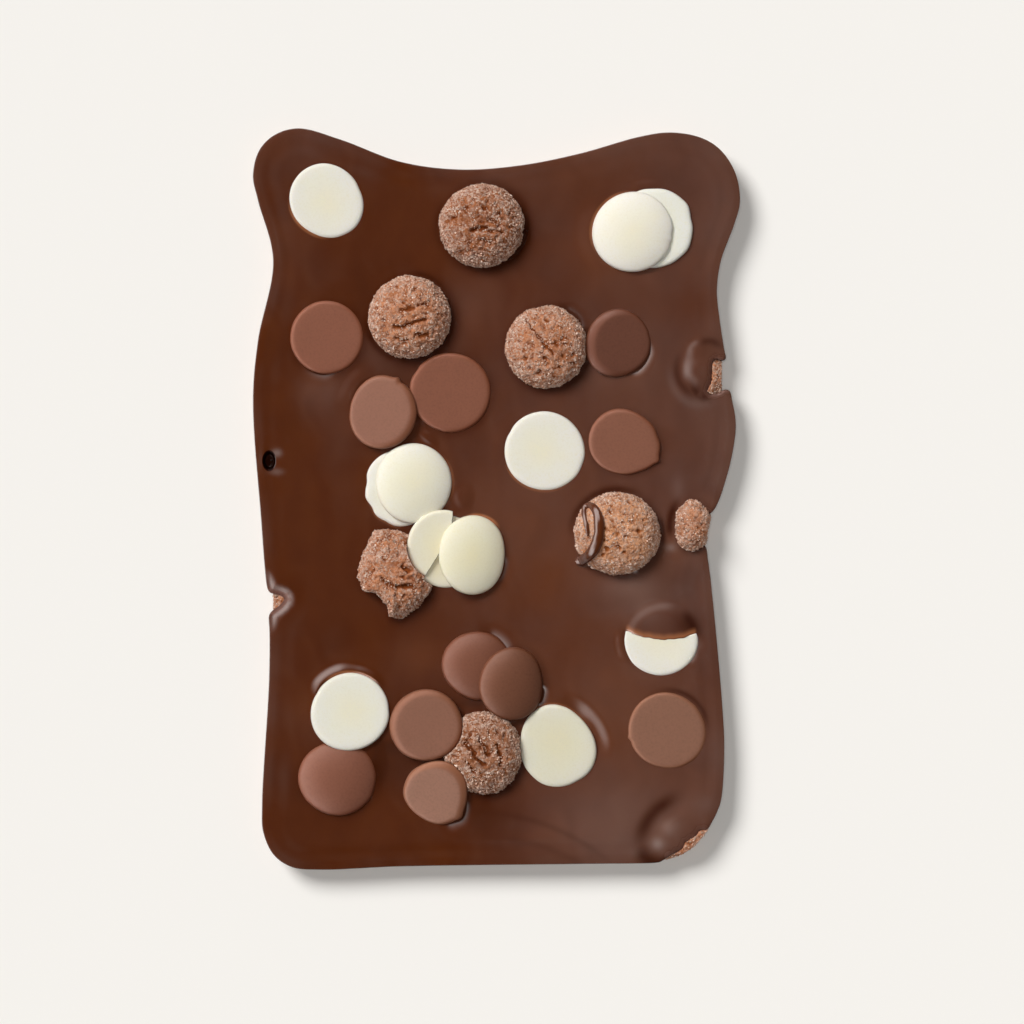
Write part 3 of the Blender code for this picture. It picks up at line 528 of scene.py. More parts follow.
def noise_field(x, y, z, length, seed=0):
    """Smooth noise at places in millimetres."""
    x, y, z = np.broadcast_arrays(x, y, z + 37.0 * seed)
    points = np.stack([x.ravel(), y.ravel(), z.ravel()], axis=1) / length
    return np.array([noise.noise(Vector(p)) for p in points]).reshape(x.shape)


def in_ellipse(x, y, cx, cy, rx, ry, turn=0):
    """Places in an ellipse's own directions, so that its rim is 1 from its middle."""
    c, s = math.cos(math.radians(turn)), math.sin(math.radians(turn))
    return ((x - cx) * c + (y - cy) * s) / rx, ((y - cy) * c - (x - cx) * s) / ry


def degrees_from(angle, direction):
    return np.degrees(np.angle(np.exp(1j * (angle - math.radians(direction)))))


def facing(angle, direction, spread):
    """1 around a direction, falling to 0 at its spread."""
    return smoothstep((1.0 - np.abs(degrees_from(angle, direction)) / spread) / 0.7)


def rim_radius(button, angle):
    """A button's radius in plan in a direction, flaws included."""
    radius = button.radius * (1 + button.oval * np.cos(2 * (angle - math.radians(button.oval_turn))))
    radius += button.radius * button.egg * np.cos(3 * (angle - math.radians(button.egg_turn)))
    for direction, spread, depth in FLAWS.get(button.name, []):
        radius -= depth * np.exp(-((degrees_from(angle, direction) / spread) ** 2))
    return radius


def biscuit_radius(biscuit, angle):
    """A biscuit's radius in plan in a direction."""
    if biscuit.name == "biscuit_broken":
        corners = np.array(BROKEN_OUTLINE) - (biscuit.x, biscuit.y)
        directions = np.arctan2(corners[:, 1], corners[:, 0])
        order = np.argsort(directions)
        return np.interp(angle, directions[order], np.hypot(*corners.T)[order], period=2 * math.pi)
    return biscuit.rx * biscuit.ry / np.hypot(biscuit.ry * np.cos(angle), biscuit.rx * np.sin(angle))


def outside_distance(piece, x, y):
    """Distance in plan from places to a piece's rim, and their directions from its middle."""
    dx, dy = x - piece.x, y - piece.y
    angle = np.arctan2(dy, dx)
    radius = rim_radius if isinstance(piece, Button) else biscuit_radius
    return np.hypot(dx, dy) - radius(piece, angle), angle


def rim_gap(points):
    """Distance from places to the nearest rim of a piece that shows."""
    return np.minimum.reduce([np.full(len(points), FAR), *(outside_distance(piece, *points.T)[0] for piece in SHOWN)])


@cache
def slab_outline(notched):
    """The outline centred as in the frame, with the openings or without."""
    points = list(OUTLINE)
    if notched:
        for removed, added in NOTCHES:
            first = points.index(removed[0])
            points = [p for p in points if p not in removed]
            points[first:first] = added
    plain = smooth_loop(OUTLINE)
    return smooth_loop(points) - (plain.min(axis=0) + plain.max(axis=0)) / 2


def bubble_share(x, y):
    """Distance from the middle of the burst bubble, 1 at its rim."""
    return np.hypot(*in_ellipse(x, y, *BUBBLE))


def coat_share(x, y):
    """Distance from the middle of the half-covered button, 1 at its rim."""
    return 1 + outside_distance(HALF_COATED, x, y)[0] / HALF_COATED.radius


def coat_line(x):
    """The lower edge of the coat on the half-covered button."""
    rough = sum(curve_at(COAT_EDGE, x + shift) for shift in (-1.2, 0.0, 1.2)) / 3
    return rough + 0.12 * np.sin(1.9 * x) * np.sin(0.7 * x + 1)


def coat_height(x, y):
    """How far the coat over the half-covered button stands above the level surface, or far below it."""
    past = y - coat_line(x)
    thick = COAT_RISE * smoothstep((COAT_REACH - coat_share(x, y)) / 0.46)
    rounded = 0.14 * np.sqrt(np.clip(1 - (np.clip(past, 0, 0.7) / 0.7 - 1) ** 2, 0, 1)) - 0.14
    return np.where(past > 0, thick + rounded * (thick > 0.1), -9.0)


def surface_height(x, y, edge, notch):
    """Height of the chocolate at places, with their distances to the outline and to an opening."""
    level = SLAB_TOP + sum(height * noise_field(x, y, at, length, seed) for height, length, at, seed in WAVES)
    near = smoothstep((notch - 1.0) / (NOTCH_REACH - 1.0))
    lip = np.where(x < 0, curve_at(LEFT_NOTCH_RISE, edge), curve_at(NOTCH_RISE, edge))
    z = level + near * curve_at(EDGE_RISE, edge) + (1 - near) * lip
    for *ellipse, height in SWELLINGS:
        u, v = in_ellipse(x, y, *ellipse)
        z += height * np.exp(-((u * u + v * v) ** 1.3) * 1.2)
    for piece in BUTTONS + BISCUITS:
        distance, angle = outside_distance(piece, x, y)
        for direction, spread, reach, climb, *start in CONTACTS.get(piece.name, []):
            if start:
                shape = smoothstep((reach - distance) / (reach - start[0]))
                if climb > 0:
                    shape *= smoothstep((distance + 0.35) / 0.6)
            else:
                shape = np.clip((reach - distance) / reach, 0, 1.25) ** 2
            z += climb * shape * facing(angle, direction, spread) * (distance > -3)
        if piece.name not in COVERED and piece is not HALF_COATED:
            z -= 1.6 * smoothstep((-1.0 - distance) / 1.2)
    share = coat_share(x, y)
    base = z + (level - z) * smoothstep((COAT_REACH - share) / 0.3)
    z = np.where(share < COAT_REACH, np.maximum(z, base + coat_height(x, y)), z)
    shift_x, shift_y, depth = BUBBLE_DIP
    dip = np.clip(bubble_share(x - shift_x, y - shift_y) - 0.9, 0, None)
    z -= depth * np.exp(-((dip / 0.75) ** 2)) * smoothstep((edge - 0.4) / 1.6)
    return z - BUBBLE_DEPTH * smoothstep((1.0 - bubble_share(x, y)) / 0.22)


def in_coat(points):
    """Which places the coat's own finer points cover."""
    x, y = points.T
    low_x, high_x, low_y, high_y = COAT_BOX
    return (coat_share(x, y) < COAT_FINE) & (x > low_x) & (x < high_x) & (y > low_y) & (y < high_y)


def surface_points(loop, rim):
    """Places for the points of the slab's surface, closer where there is relief."""
    parts = []
    for inset, step in EDGE_ROWS:
        points, normals = resampled(slab_outline(True), step)
        points = points - normals * inset
        parts.append(points[gap_to(points, loop) > 0.93 * inset])

    low, high = loop.min(axis=0), loop.max(axis=0)
    x, y = np.meshgrid(np.arange(low[0], high[0], GRID_STEP), np.arange(low[1], high[1], GRID_STEP * 0.866))
    x = x + (np.arange(len(y)) % 2)[:, None] * GRID_STEP / 2
    grid = np.column_stack([x.ravel(), y.ravel()])
    grid = grid[inside(grid, rim)]
    grid = grid[gap_to(grid, loop) > CLEAR_OF_EDGE]
    parts.append(grid[rim_gap(grid) > CLEAR_OF_PIECES])

    turn = np.linspace(0, 2 * math.pi, RIM_POINTS, endpoint=False)
    for piece in SHOWN:
        for k, offset in enumerate(RIM_ROWS):
            angle = turn + (k % 2) * math.pi / RIM_POINTS
            out = np.stack([np.cos(angle), np.sin(angle)])
            middle = np.array([[piece.x], [piece.y]])
            reach = offset - outside_distance(piece, *(middle + 1e-6 * out))[0]
            ring = (middle + reach * out).T
            ring = ring[rim_gap(ring) > offset - 0.08]
            ring = ring[inside(ring, rim)]
            parts.append(ring[gap_to(ring, loop) > 2.5])

    for k, kept in enumerate(parts):
        parts[k] = kept[bubble_share(*kept.T) > (1.5 if k < EDGE_ROWS_KEPT else 2.55)]
    for share in BUBBLE_RINGS:
        turn = np.linspace(0, 2 * math.pi, 44 if share > 0.6 else 20, endpoint=False) + share
        ring = BUBBLE[:2] + share * np.stack([BUBBLE[2] * np.cos(turn), BUBBLE[3] * np.sin(turn)], axis=1)
        ring = ring[inside(ring, rim)]
        parts.append(ring[gap_to(ring, loop) > (0.6 if share < 1.15 else 1.0)])

    parts = [points[~in_coat(points)] for points in parts]
    x = np.arange(COAT_EDGE[0][0], COAT_EDGE[-1][0], 0.3)
    parts += [np.column_stack([x, coat_line(x) + past]) for past in COAT_ROWS]
    low_x, high_x, low_y, high_y = COAT_BOX
    x, y = np.meshgrid(np.arange(low_x, high_x, COAT_STEP), np.arange(low_y, high_y, COAT_STEP))
    x, y = (x + 0.02 * y).ravel(), y.ravel()
    past = y - coat_line(x)
    parts.append(np.column_stack([x, y])[(coat_share(x, y) < COAT_FINE) & ((past > 0.9) | (past < -0.6))])
    points = np.vstack(parts)
    return points[inside(points, rim)]


def make_slab():
    """The slab's skin: a wall in rings, a flat base, and a fine surface with all its relief."""
    loop, outward = resampled(slab_outline(True), RIM_STEP)
    opened = np.array([point for _, added in NOTCHES for point in added])
    opened = opened[gap_to(opened, slab_outline(False)) > 0.5]
    count = len(loop)
    notch = gap_to(loop, opened)
    taper = 0.12 + 0.88 * smoothstep((notch - 0.6) / 3.0)
    rim_height = surface_height(*loop.T, np.full(count, WALL[-1][0]), notch)
    top_start = WALL[-1][1] - 1.05
    vertices = []
    for inset, height in WALL:
        ring = loop - outward * (inset * taper)[:, None]
        z = height + (height > 5) * (rim_height - 6.0) * (height - top_start) / 1.05
        vertices.append(np.column_stack([ring, z]))
    faces = tube_faces(len(WALL), count)
    rim = vertices[-1][:, :2]

    flat = [Vector(p) for p in np.vstack([rim, surface_points(loop, rim)]).tolist()]
    edges = [(i, (i + 1) % count) for i in range(count)]
    points, _, triangles, origin, _, _ = geometry.delaunay_2d_cdt(flat, edges, [], 1, 1e-6)
    places = np.array([(p.x, p.y) for p in points])
    heights = surface_height(*places.T, gap_to(places, loop), gap_to(places, opened))
    corner, extra = [], []
    for place, height, came_from in zip(places, heights, origin):
        on_rim = [i for i in came_from if i < count]
        if on_rim:
            corner.append((len(WALL) - 1) * count + on_rim[0])
        else:
            corner.append(len(WALL) * count + len(extra))
            extra.append((*place, height))
    vertices = np.vstack([*vertices, extra])
    faces += [tuple(corner[k] for k in triangle) for triangle in triangles] + [tuple(range(count))]
    slab = closed(new_object("chocolate_slab_skin", vertices, faces))
    shade_slab(slab, vertices, loop, opened)
    return slab


def shade_slab(slab, points, loop, opened):
    """What the chocolate's material reads: film, painted shade, dull, painted sheen with mottling, and warmth with
    painted shade.
    """
    x, y, z = points.T
    film, lee = np.zeros(len(x)), np.zeros(len(x))
    patchy = 0.6 + 0.4 * smoothstep((noise_field(x, y, 0, 6.0, 5) + 0.35) / 0.6)
    for piece in BUTTONS + BISCUITS:
        distance, angle = outside_distance(piece, x, y)
        out = np.clip(distance, 0, None)
        for direction, spread, clear in FILMS.get(piece.name, []):
            seen = 1.5 * clear * patchy * facing(angle, direction, spread)
            film = np.maximum(film, seen * np.exp(-((out / 0.4) ** 2)))
        # Painted shadow beside the piece, reaching furthest towards the lower right.
        for strength, reach in PAINTED_SHADOWS.get(piece.name, []):
            side = 0.45 + 0.55 * np.cos(angle - math.radians(PAINTED_SHADOW_DIRECTION))
            fall = np.exp(-((out / (reach * (0.45 + 0.55 * side))) ** 2))
            lee = np.maximum(lee, strength * (0.25 + 0.75 * side) * fall)

    past = y - coat_line(x)
    ends = smoothstep((1.0 - coat_share(x, coat_line(x))) / 0.12)
    thin = np.clip(1.3 * np.exp(-((np.maximum(past, 0) / 0.95) ** 1.5)), 0, 1)
    film = np.where(past > 0, np.maximum(film, 0.9 * ends * thin), film)

    at_wall = gap_to(points[:, :2], opened)
    # Painted shade along the edges of the openings.
    lee = np.maximum(lee, 0.9 * np.exp(-(at_wall**2)))
    # Inside the burst bubble and on its walls the colour is painted nearly black, as shade.
    share = bubble_share(x, y)
    lee = np.where(share < 1.12, np.where(share < 0.8, 1.2, 1.6), lee)

    pale, warm = np.zeros(len(x)), np.zeros(len(x))
    # Each cloud adds painted sheen, and a warmer hue or painted shade.
    for *ellipse, sheen_amount, warmer in TONES:
        u, v = in_ellipse(x, y, *ellipse)
        cloud = np.exp(-(u * u) - v * v)
        pale += sheen_amount * cloud
        warm += warmer * cloud
    # Each ring adds painted shade and painted sheen.
    for *ellipse, direction, spread, width, darker, sheen_amount in RINGS:
        out = np.hypot(*in_ellipse(x, y, *ellipse)) - 1
        ring = np.exp(-((out / width) ** 2))
        ring *= facing(np.arctan2(y - ellipse[1], x - ellipse[0]), direction, spread)
        lee = np.maximum(lee, darker * ring)
        pale += sheen_amount * ring

    swirl = noise_field(x, y, 0, 9.0, 8)
    streaks = noise_field(x + 5 * swirl, 0.35 * y + 4 * swirl, 0, 4.0, 12)
    # Painted sheen in bands along the outline, most on the left and the top, which face the light, and none at the
    # openings.
    sides = 0.35 + 0.65 * smoothstep((-x - 20) / 30) + 0.3 * smoothstep((y - 60) / 20)
    sides *= smoothstep((at_wall - 3.0) / 6.0)
    pale += curve_at(EDGE_SHEEN, gap_to(points[:, :2], loop)) * sides * (0.75 + 0.8 * swirl)
    top = z > 1.0
    set_attribute(slab, "film", film * top)
    set_attribute(slab, "lee", lee * top)
    set_attribute(slab, "dull", np.exp(-((at_wall / 0.9) ** 2)))
    set_attribute(slab, "pale", (pale + 4.0 * swirl + 3.0 * streaks) / TONE_UNIT)
    set_attribute(slab, "warm", (warm - 8.0 * swirl + 7.0 * streaks) / TONE_UNIT)


def lifted(button):
    """A flat button raised a little where the chocolate would run over its rim."""
    if button.side == "dome" or button is HALF_COATED:
        return button
    angle = np.linspace(0, 2 * math.pi, 36, endpoint=False)
    reach = rim_radius(button, angle)
    x, y = button.x + reach * np.cos(angle), button.y + reach * np.sin(angle)
    rise = math.tan(math.radians(button.tilt)) * reach * np.cos(angle - math.radians(button.raised))
    room = button.height + rise - surface_height(x, y, FAR + 0 * x, FAR + 0 * x)
    lift = float(np.clip(MIN_STAND - room.min(), 0, MAX_LIFT))
    return button._replace(height=button.height + lift)


def make_button(button):
    """A drop of chocolate, flat on one side, in rings from the middle of the flat to the top of the dome."""
    curve = np.array(BUTTON_CURVE)
    along = lengths(curve * (9.0, 1.0))
    at = np.linspace(0, along[-1], BUTTON_RINGS)
    share, level = (np.interp(at, along, curve[:, k]) for k in (0, 1))
    share, level = (np.convolve(np.pad(v, 1, mode="edge"), [0.25, 0.5, 0.25], "valid") for v in (share, level))
    share[0] = share[-1] = 0.0
    angle = np.linspace(0, 2 * math.pi, BUTTON_SEGMENTS, endpoint=False)
    seed = sum(map(ord, button.name)) % 97
    wobble = np.array([noise.noise(Vector((2.2 * math.cos(a), 2.2 * math.sin(a), seed))) for a in angle])
    rim = rim_radius(button, angle) * (1 + 0.005 * wobble)
    tilt, raised = math.radians(button.tilt), math.radians(button.raised)
    lean = np.array([math.cos(raised), math.sin(raised)])
    out = np.stack([np.cos(angle), np.sin(angle)], axis=1)
    out = out + lean * (1 / math.cos(tilt) - 1) * (out @ lean)[:, None]
    flat = share[:, None, None] * (rim[:, None] * out)[None]
    for small, shift_x, shift_y, depth in SHOULDERS.get(button.name, []):
        near_face = 1 - smoothstep(level / depth)
        shrink = 1 - (1 - small / 0.9) * near_face
        flat = flat * shrink[:, None, None] + near_face[:, None, None] * np.array((shift_x, shift_y))
    z = np.repeat(level[:, None], BUTTON_SEGMENTS, axis=1)
    z = -z if button.side == "flat" else z - BUTTON_THICKNESS
    points = np.concatenate([flat, z[:, :, None]], axis=2).reshape(-1, 3)
    bumps = noise_field(points[:, 0], points[:, 1], points[:, 2] * 2, 3.5, seed)
    points[:, 2] += 0.035 * bumps * np.repeat(smoothstep(share / 0.3), BUTTON_SEGMENTS)
    turn = np.array(Matrix.Rotation(-tilt, 3, Vector((-lean[1], lean[0], 0))))
    points = points @ turn.T + (button.x, button.y, button.height)

    n, m = BUTTON_RINGS - 2, BUTTON_SEGMENTS
    first, last = points[:m].mean(axis=0), points[-m:].mean(axis=0)
    vertices = np.vstack([first, points[m:-m], last])
    faces = tube_faces(n, m, 1)
    for i in range(m):
        j = (i + 1) % m
        faces += [(0, 1 + i, 1 + j), (1 + (n - 1) * m + i, 1 + n * m, 1 + (n - 1) * m + j)]
    middle = 1 - np.concatenate([[0], np.repeat(share[1:-1], m), [0]])
    return vertices, faces, middle


def cut_at_crack(obj):
    """Keeps the side of a button that its crack leaves."""
    away = Vector((1, -0.35) if "upper" in obj.name else (-1, 0.35)).normalized()
    line = [Vector(point) for point in CRACK]
    fine = []
    for a, b in zip(line[1:-2], line[2:-1]):
        for t in np.linspace(0, 1, 8, endpoint=False):
            p = a.lerp(b, t)
            shift = 0.22 * noise.noise(Vector((p.x * 0.9, p.y * 0.9, 4.0)))
            fine.append(p + Vector((1, -0.3)) * shift)
    near = [p - away * 0.05 for p in (*fine, line[-2])]
    near = [near[0] + line[0] - line[1], *near, near[-1] + line[-1] - line[-2]]
    loop = near + [p + away * 16 for p in near][::-1]
    n = len(loop)
    caps = [tuple(range(n)), tuple(range(n, 2 * n))]
    blade = [(p.x, p.y, z) for z in (-2.0, 20.0) for p in loop]
    blade = closed(new_object("blade", blade, tube_faces(2, n) + caps))
    cut = obj.modifiers.new("cut", "BOOLEAN")
    cut.operation = "DIFFERENCE"
    cut.object = blade
    bpy.context.view_layer.update()
    result = bpy.data.meshes.new_from_object(obj.evaluated_get(bpy.context.evaluated_depsgraph_get()))
    obj.modifiers.clear()
    obj.data = result
    bpy.data.objects.remove(blade)
    result.shade_smooth()
    result.set_sharp_from_angle(angle=math.radians(38))


def waist_height(biscuit):
    return BISCUIT_BASE + 0.38 * (biscuit.top - BISCUIT_BASE)


def make_biscuit(biscuit):
    """A craggy dome in rings of points from the crown down, and which points are in hollows and on flanks."""
    rx, seed, top = biscuit.rx, biscuit.seed, biscuit.top
    broken = biscuit.name == "biscuit_broken"
    more = FULLER.get(biscuit.name, 0.0)
    biscuit = biscuit._replace(rx=rx + more, ry=biscuit.ry + 0.6 * more)
    rings, sides = (60, 140) if rx < 8 else (84, 230)
    waist, upper = waist_height(biscuit), int(rings * 0.75)
    latitude = np.radians(np.concatenate([np.linspace(89.5, 0, upper), np.linspace(-4, -62, rings - upper)]))
    up, around = np.meshgrid(latitude, np.linspace(0, 2 * math.pi, sides, endpoint=False), indexing="ij")
    fullness = BISCUIT_FULLNESS
    if broken:
        bite = smoothstep((BREAK[1] + 5 - np.abs(degrees_from(around, BREAK[0]))) / 10)
        fullness = fullness - 0.2 * smoothstep((-0.05 - np.cos(around)) / 0.3)
        fullness = fullness + (0.3 - fullness) * bite
    reach = biscuit_radius(biscuit, around) * np.cos(up) ** fullness
    x, y = reach * np.cos(around), reach * np.sin(around)
    rise = np.abs(np.sin(up)) ** fullness * np.sign(np.sin(up))
    z = waist + rise * np.where(up > 0, top - waist, waist - BISCUIT_BASE)

    def field(length, shift):
        return noise_field(x, y, z, length, seed + shift)

    crag = (field(3.4, 0) * 0.3 + field(1.5, 20) * 0.17) * (1.9 if broken else 1.0)
    pores = np.clip(field(1.2, 40) - 0.2, 0, 1) * -1.5 * smoothstep((up - 0.25) / 0.6)
    grain = field(0.7, 60) * (0.12 + 0.12 * (up < 0.5))
    swell = (crag + pores + grain - 0.22) * np.where(up < 0, 0.35, 1.0)
    jitter = 0.5 * field(1.2, 80)
    for width, depth, *line in CRACKS.get(biscuit.name, []):
        distance = line_distance(biscuit.x + x + jitter, biscuit.y + y + jitter, np.reshape(line, (-1, 2)))
        groove = 1.3 * depth * np.exp(-((distance / (0.8 * width)) ** 2))
        lip = 0.22 * np.exp(-(((distance - 1.2) / 0.7) ** 2))
        swell = swell + (lip - groove) * (up > 0.3)
    scale = 1 + swell / rx
    z = np.clip(waist + (z - waist) * scale, BISCUIT_BASE, top + 0.05)
    points = np.stack([biscuit.x + x * scale, biscuit.y + y * scale, z], axis=2).reshape(-1, 3)
    faces = tube_faces(rings, sides) + [tuple(range(sides)), tuple(range((rings - 1) * sides, rings * sides))]
    hollow = np.clip(-(swell + 0.1) / 1.1, 0, 1).ravel()
    flank = smoothstep((1.15 - up) / 0.8).ravel()
    return points, faces, (rings, sides), hollow, flank


def crack_side(x, y):
    """How far to the right of the broken button's crack places lie."""
    return x - np.interp(y, *np.array(CRACK)[::-1, ::-1].T)


def kept_below_buttons(points, biscuit):
    """Lowers points of a biscuit where a button lies on it."""
    out = points.copy()
    x, y, _ = points.T
    taken = np.zeros(len(points), bool)
    for button in BUTTONS:
        apart = math.hypot(button.x - biscuit.x, button.y - biscuit.y)
        if apart > button.radius + max(biscuit.rx, biscuit.ry):
            continue
        over = outside_distance(button, x, y)[0] < 0.05
        if "broken" in button.name:
            over &= (crack_side(x, y) < 0) == ("upper" in button.name)
        raised = math.radians(button.raised)
        uphill = (x - button.x) * math.cos(raised) + (y - button.y) * math.sin(raised)
        face = button.height + math.tan(math.radians(button.tilt)) * uphill
        room = face - (2.0 if button.side == "flat" else 3.6)
        out[:, 2] = np.where(over, np.minimum(out[:, 2], room), out[:, 2])
        taken |= over
    return out, ~taken


def kept_inside(points, wall, normals):
    """Moves points of a piece at the wall inwards, so that none stands out of the slab."""
    _, at = nearest(points[:, :2], wall)
    depth = ((wall[at] - points[:, :2]) * normals[at]).sum(axis=1)
    short = curve_at(WALL_INSIDE, points[:, 2]) + 0.04 - depth
    moved = points[:, :2] - normals[at] * np.maximum(short, 0)[:, None]
    return np.column_stack([moved, points[:, 2]])


def kept_under(points, outline):
    """Lowers points of a covered piece below the chocolate over them."""
    x, y, z = points.T
    within = inside(points[:, :2], outline)
    gap = gap_to(points[:, :2], outline)
    cover = surface_height(x, y, gap, 0 * gap) - 0.3
    return np.column_stack([x, y, np.where(within, np.minimum(z, cover), z)]), ~within | (gap < 0.15)


def sugar_spots(points, grid, biscuit, draw, is_open):
    """Places on the upper part of a biscuit for grains of sugar, more on its flanks."""
    rings, sides = grid
    shaped, is_open = points.reshape(rings, sides, 3), is_open.reshape(rings, sides)
    middle = np.array((biscuit.x, biscuit.y, BISCUIT_BASE))
    spots = []
    for k in range(1, int(rings * 0.80)):
        flank = 0.38 + 0.92 * smoothstep((k / rings - 0.15) / 0.5)
        a, b, c = shaped[k], np.roll(shaped[k], -1, axis=0), shaped[k + 1]
        area = np.linalg.norm(np.cross(b - a, c - a), axis=1)
        for i in range(sides):
            patch = flank + 0.9 * noise.noise(Vector(a[i]) / 3.0)
            if is_open[k][i] and draw.random() < area[i] * SUGAR_PER_MM2 * max(0.1, patch):
                t = draw.random()
                place = a[i] * (1 - t) + b[i] * t
                out = place - middle
                size = draw.choice(GRAIN_SIZES)
                spots.append((place - out * (0.08 * size / np.linalg.norm(out)), size))
    return spots


def grain_mesh(spots):
    """Small blunt grains of sugar, one at each spot: place, size."""
    draw = random.Random(4)
    vertices, faces = [], []
    corners = [(-1, -1, -1), (1, -1, -1), (1, 1, -1), (-1, 1, -1), (-1, -1, 1), (1, -1, 1), (1, 1, 1), (-1, 1, 1)]
    sides = [(0, 3, 2, 1), (4, 5, 6, 7), (0, 1, 5, 4), (1, 2, 6, 5), (2, 3, 7, 6), (3, 0, 4, 7)]
    for place, size in spots:
        turn = Matrix.Rotation(draw.uniform(0, 6.28), 3, Vector((draw.uniform(-1, 1), draw.uniform(-1, 1), 1)))
        tip = Matrix.Rotation(draw.uniform(0, 3.14), 3, Vector((draw.uniform(-1, 1), 1, draw.uniform(-1, 1))))
        turn = turn @ tip
        shape = [size * draw.uniform(0.36, 0.6) for _ in range(3)]
        faces += [tuple(len(vertices) + k for k in side) for side in sides]
        for corner in corners:
            local = Vector(c * s * draw.uniform(0.7, 1.0) for c, s in zip(corner, shape))
            vertices.append(Vector(place) + turn @ local)
    return vertices, faces


def make_drizzle(biscuit):
    """A thread of chocolate over a biscuit, flattened where it lies."""
    line, waist = np.array(DRIZZLE), waist_height(biscuit)
    along = lengths(line[:, :2])
    at = np.linspace(0, along[-1], DRIZZLE_POINTS)
    path = np.stack([np.interp(at, along, line[:, k]) for k in range(3)], axis=1)
    for _ in range(6):
        path[1:-1] = 0.25 * path[:-2] + 0.5 * path[1:-1] + 0.25 * path[2:]
    centres = []
    for x, y, half in path:
        out = min(1.0, math.hypot((x - biscuit.x) / biscuit.rx, (y - biscuit.y) / biscuit.ry))
        dome = math.sqrt(1 - out ** (2 / BISCUIT_FULLNESS)) ** BISCUIT_FULLNESS
        dome = waist + (biscuit.top - waist) * dome
        centres.append(Vector((x, y, max(dome + 0.25, SLAB_TOP + 0.35 * half))))
    for _ in range(4):
        for before, centre, after in zip(centres, centres[1:], centres[2:]):
            centre.z = 0.25 * before.z + 0.5 * centre.z + 0.25 * after.z
    vertices, last = [], DRIZZLE_POINTS - 1
    for i, centre in enumerate(centres):
        ahead = (centres[min(i + 1, last)] - centres[max(i - 1, 0)]).normalized()
        across = ahead.cross(Vector((0, 0, 1))).normalized()
        up = across.cross(ahead)
        half = path[i][2] * (1 + 0.12 * noise.noise(Vector((i * 0.13, 3, 1))))
        half *= math.sqrt(min(1.0, (min(i, last - i) + 0.6) / 4))
        for a in np.linspace(0, 2 * math.pi, DRIZZLE_SIDES, endpoint=False):
            vertices.append(centre + across * half * 0.92 * math.cos(a) + up * 0.62 * half * math.sin(a))
    ends = [tuple(range(start, start + DRIZZLE_SIDES)) for start in (0, last * DRIZZLE_SIDES)]
    return vertices, tube_faces(DRIZZLE_POINTS, DRIZZLE_SIDES) + ends


class Nodes:
    """Short ways to add nodes to a tree. An input is a number, a colour or another node's output."""

    def __init__(self, tree):
        self.tree = tree

    def put(self, value, socket):
        if isinstance(value, bpy.types.NodeSocket):
            self.tree.links.new(value, socket)
        elif socket.type == "RGBA":
            socket.default_value = (*value, 1.0)
        else:
            socket.default_value = value

    def add(self, kind, inputs, **settings):
        node = self.tree.nodes.new("ShaderNode" + kind)
        for key, value in settings.items():
            setattr(node, key, value)
        for key, value in inputs.items():
            self.put(value, node.inputs[key])
        return node

    def math(self, operation, *values):
        return self.add("Math", dict(enumerate(values)), operation=operation).outputs[0]

    def attribute(self, name):
        return self.add("Attribute", {}, attribute_name=name).outputs["Fac"]

    def place(self, scale):
        """The object's own coordinates, in millimetres times a scale."""
        where = self.add("TexCoord", {}).outputs["Object"]
        return self.add("VectorMath", {0: where, "Scale": scale / MM}, operation="SCALE").outputs["Vector"]

    def noise(self, scale, detail=3.0, roughness=0.55):
        inputs = {"Vector": self.place(scale), "Scale": 1.0, "Detail": detail, "Roughness": roughness}
        return self.add("TexNoise", inputs).outputs["Fac"]

    def ramp(self, source, low, high, start=0.0, end=1.0, kind="LINEAR"):
        inputs = {"Value": source, "From Min": low, "From Max": high, "To Min": start, "To Max": end}
        return self.add("MapRange", inputs, interpolation_type=kind).outputs["Result"]

    def mix(self, factor, first, second):
        return self.add("Mix", {0: factor, 6: first, 7: second}, data_type="RGBA").outputs[2]

    def bump(self, height, distance, strength, **under):
        inputs = {"Height": height, "Distance": distance * MM, "Strength": strength, **under}
        return self.add("Bump", inputs).outputs["Normal"]


class Skin(Nodes):
    """The nodes of one material."""

    def __init__(self, name):
        self.material = bpy.data.materials.new(name)
        self.material.use_nodes = True
        super().__init__(self.material.node_tree)

    def finish(self, colour, roughness, ior, inputs):
        shader = self.tree.nodes["Principled BSDF"]
        for key, value in {"Base Color": colour, "Roughness": roughness, "IOR": ior, **inputs}.items():
            self.put(value, shader.inputs[key])
        return self.material


def tinted(colour, *factors):
    return tuple(c * f for c, f in zip(colour, factors))


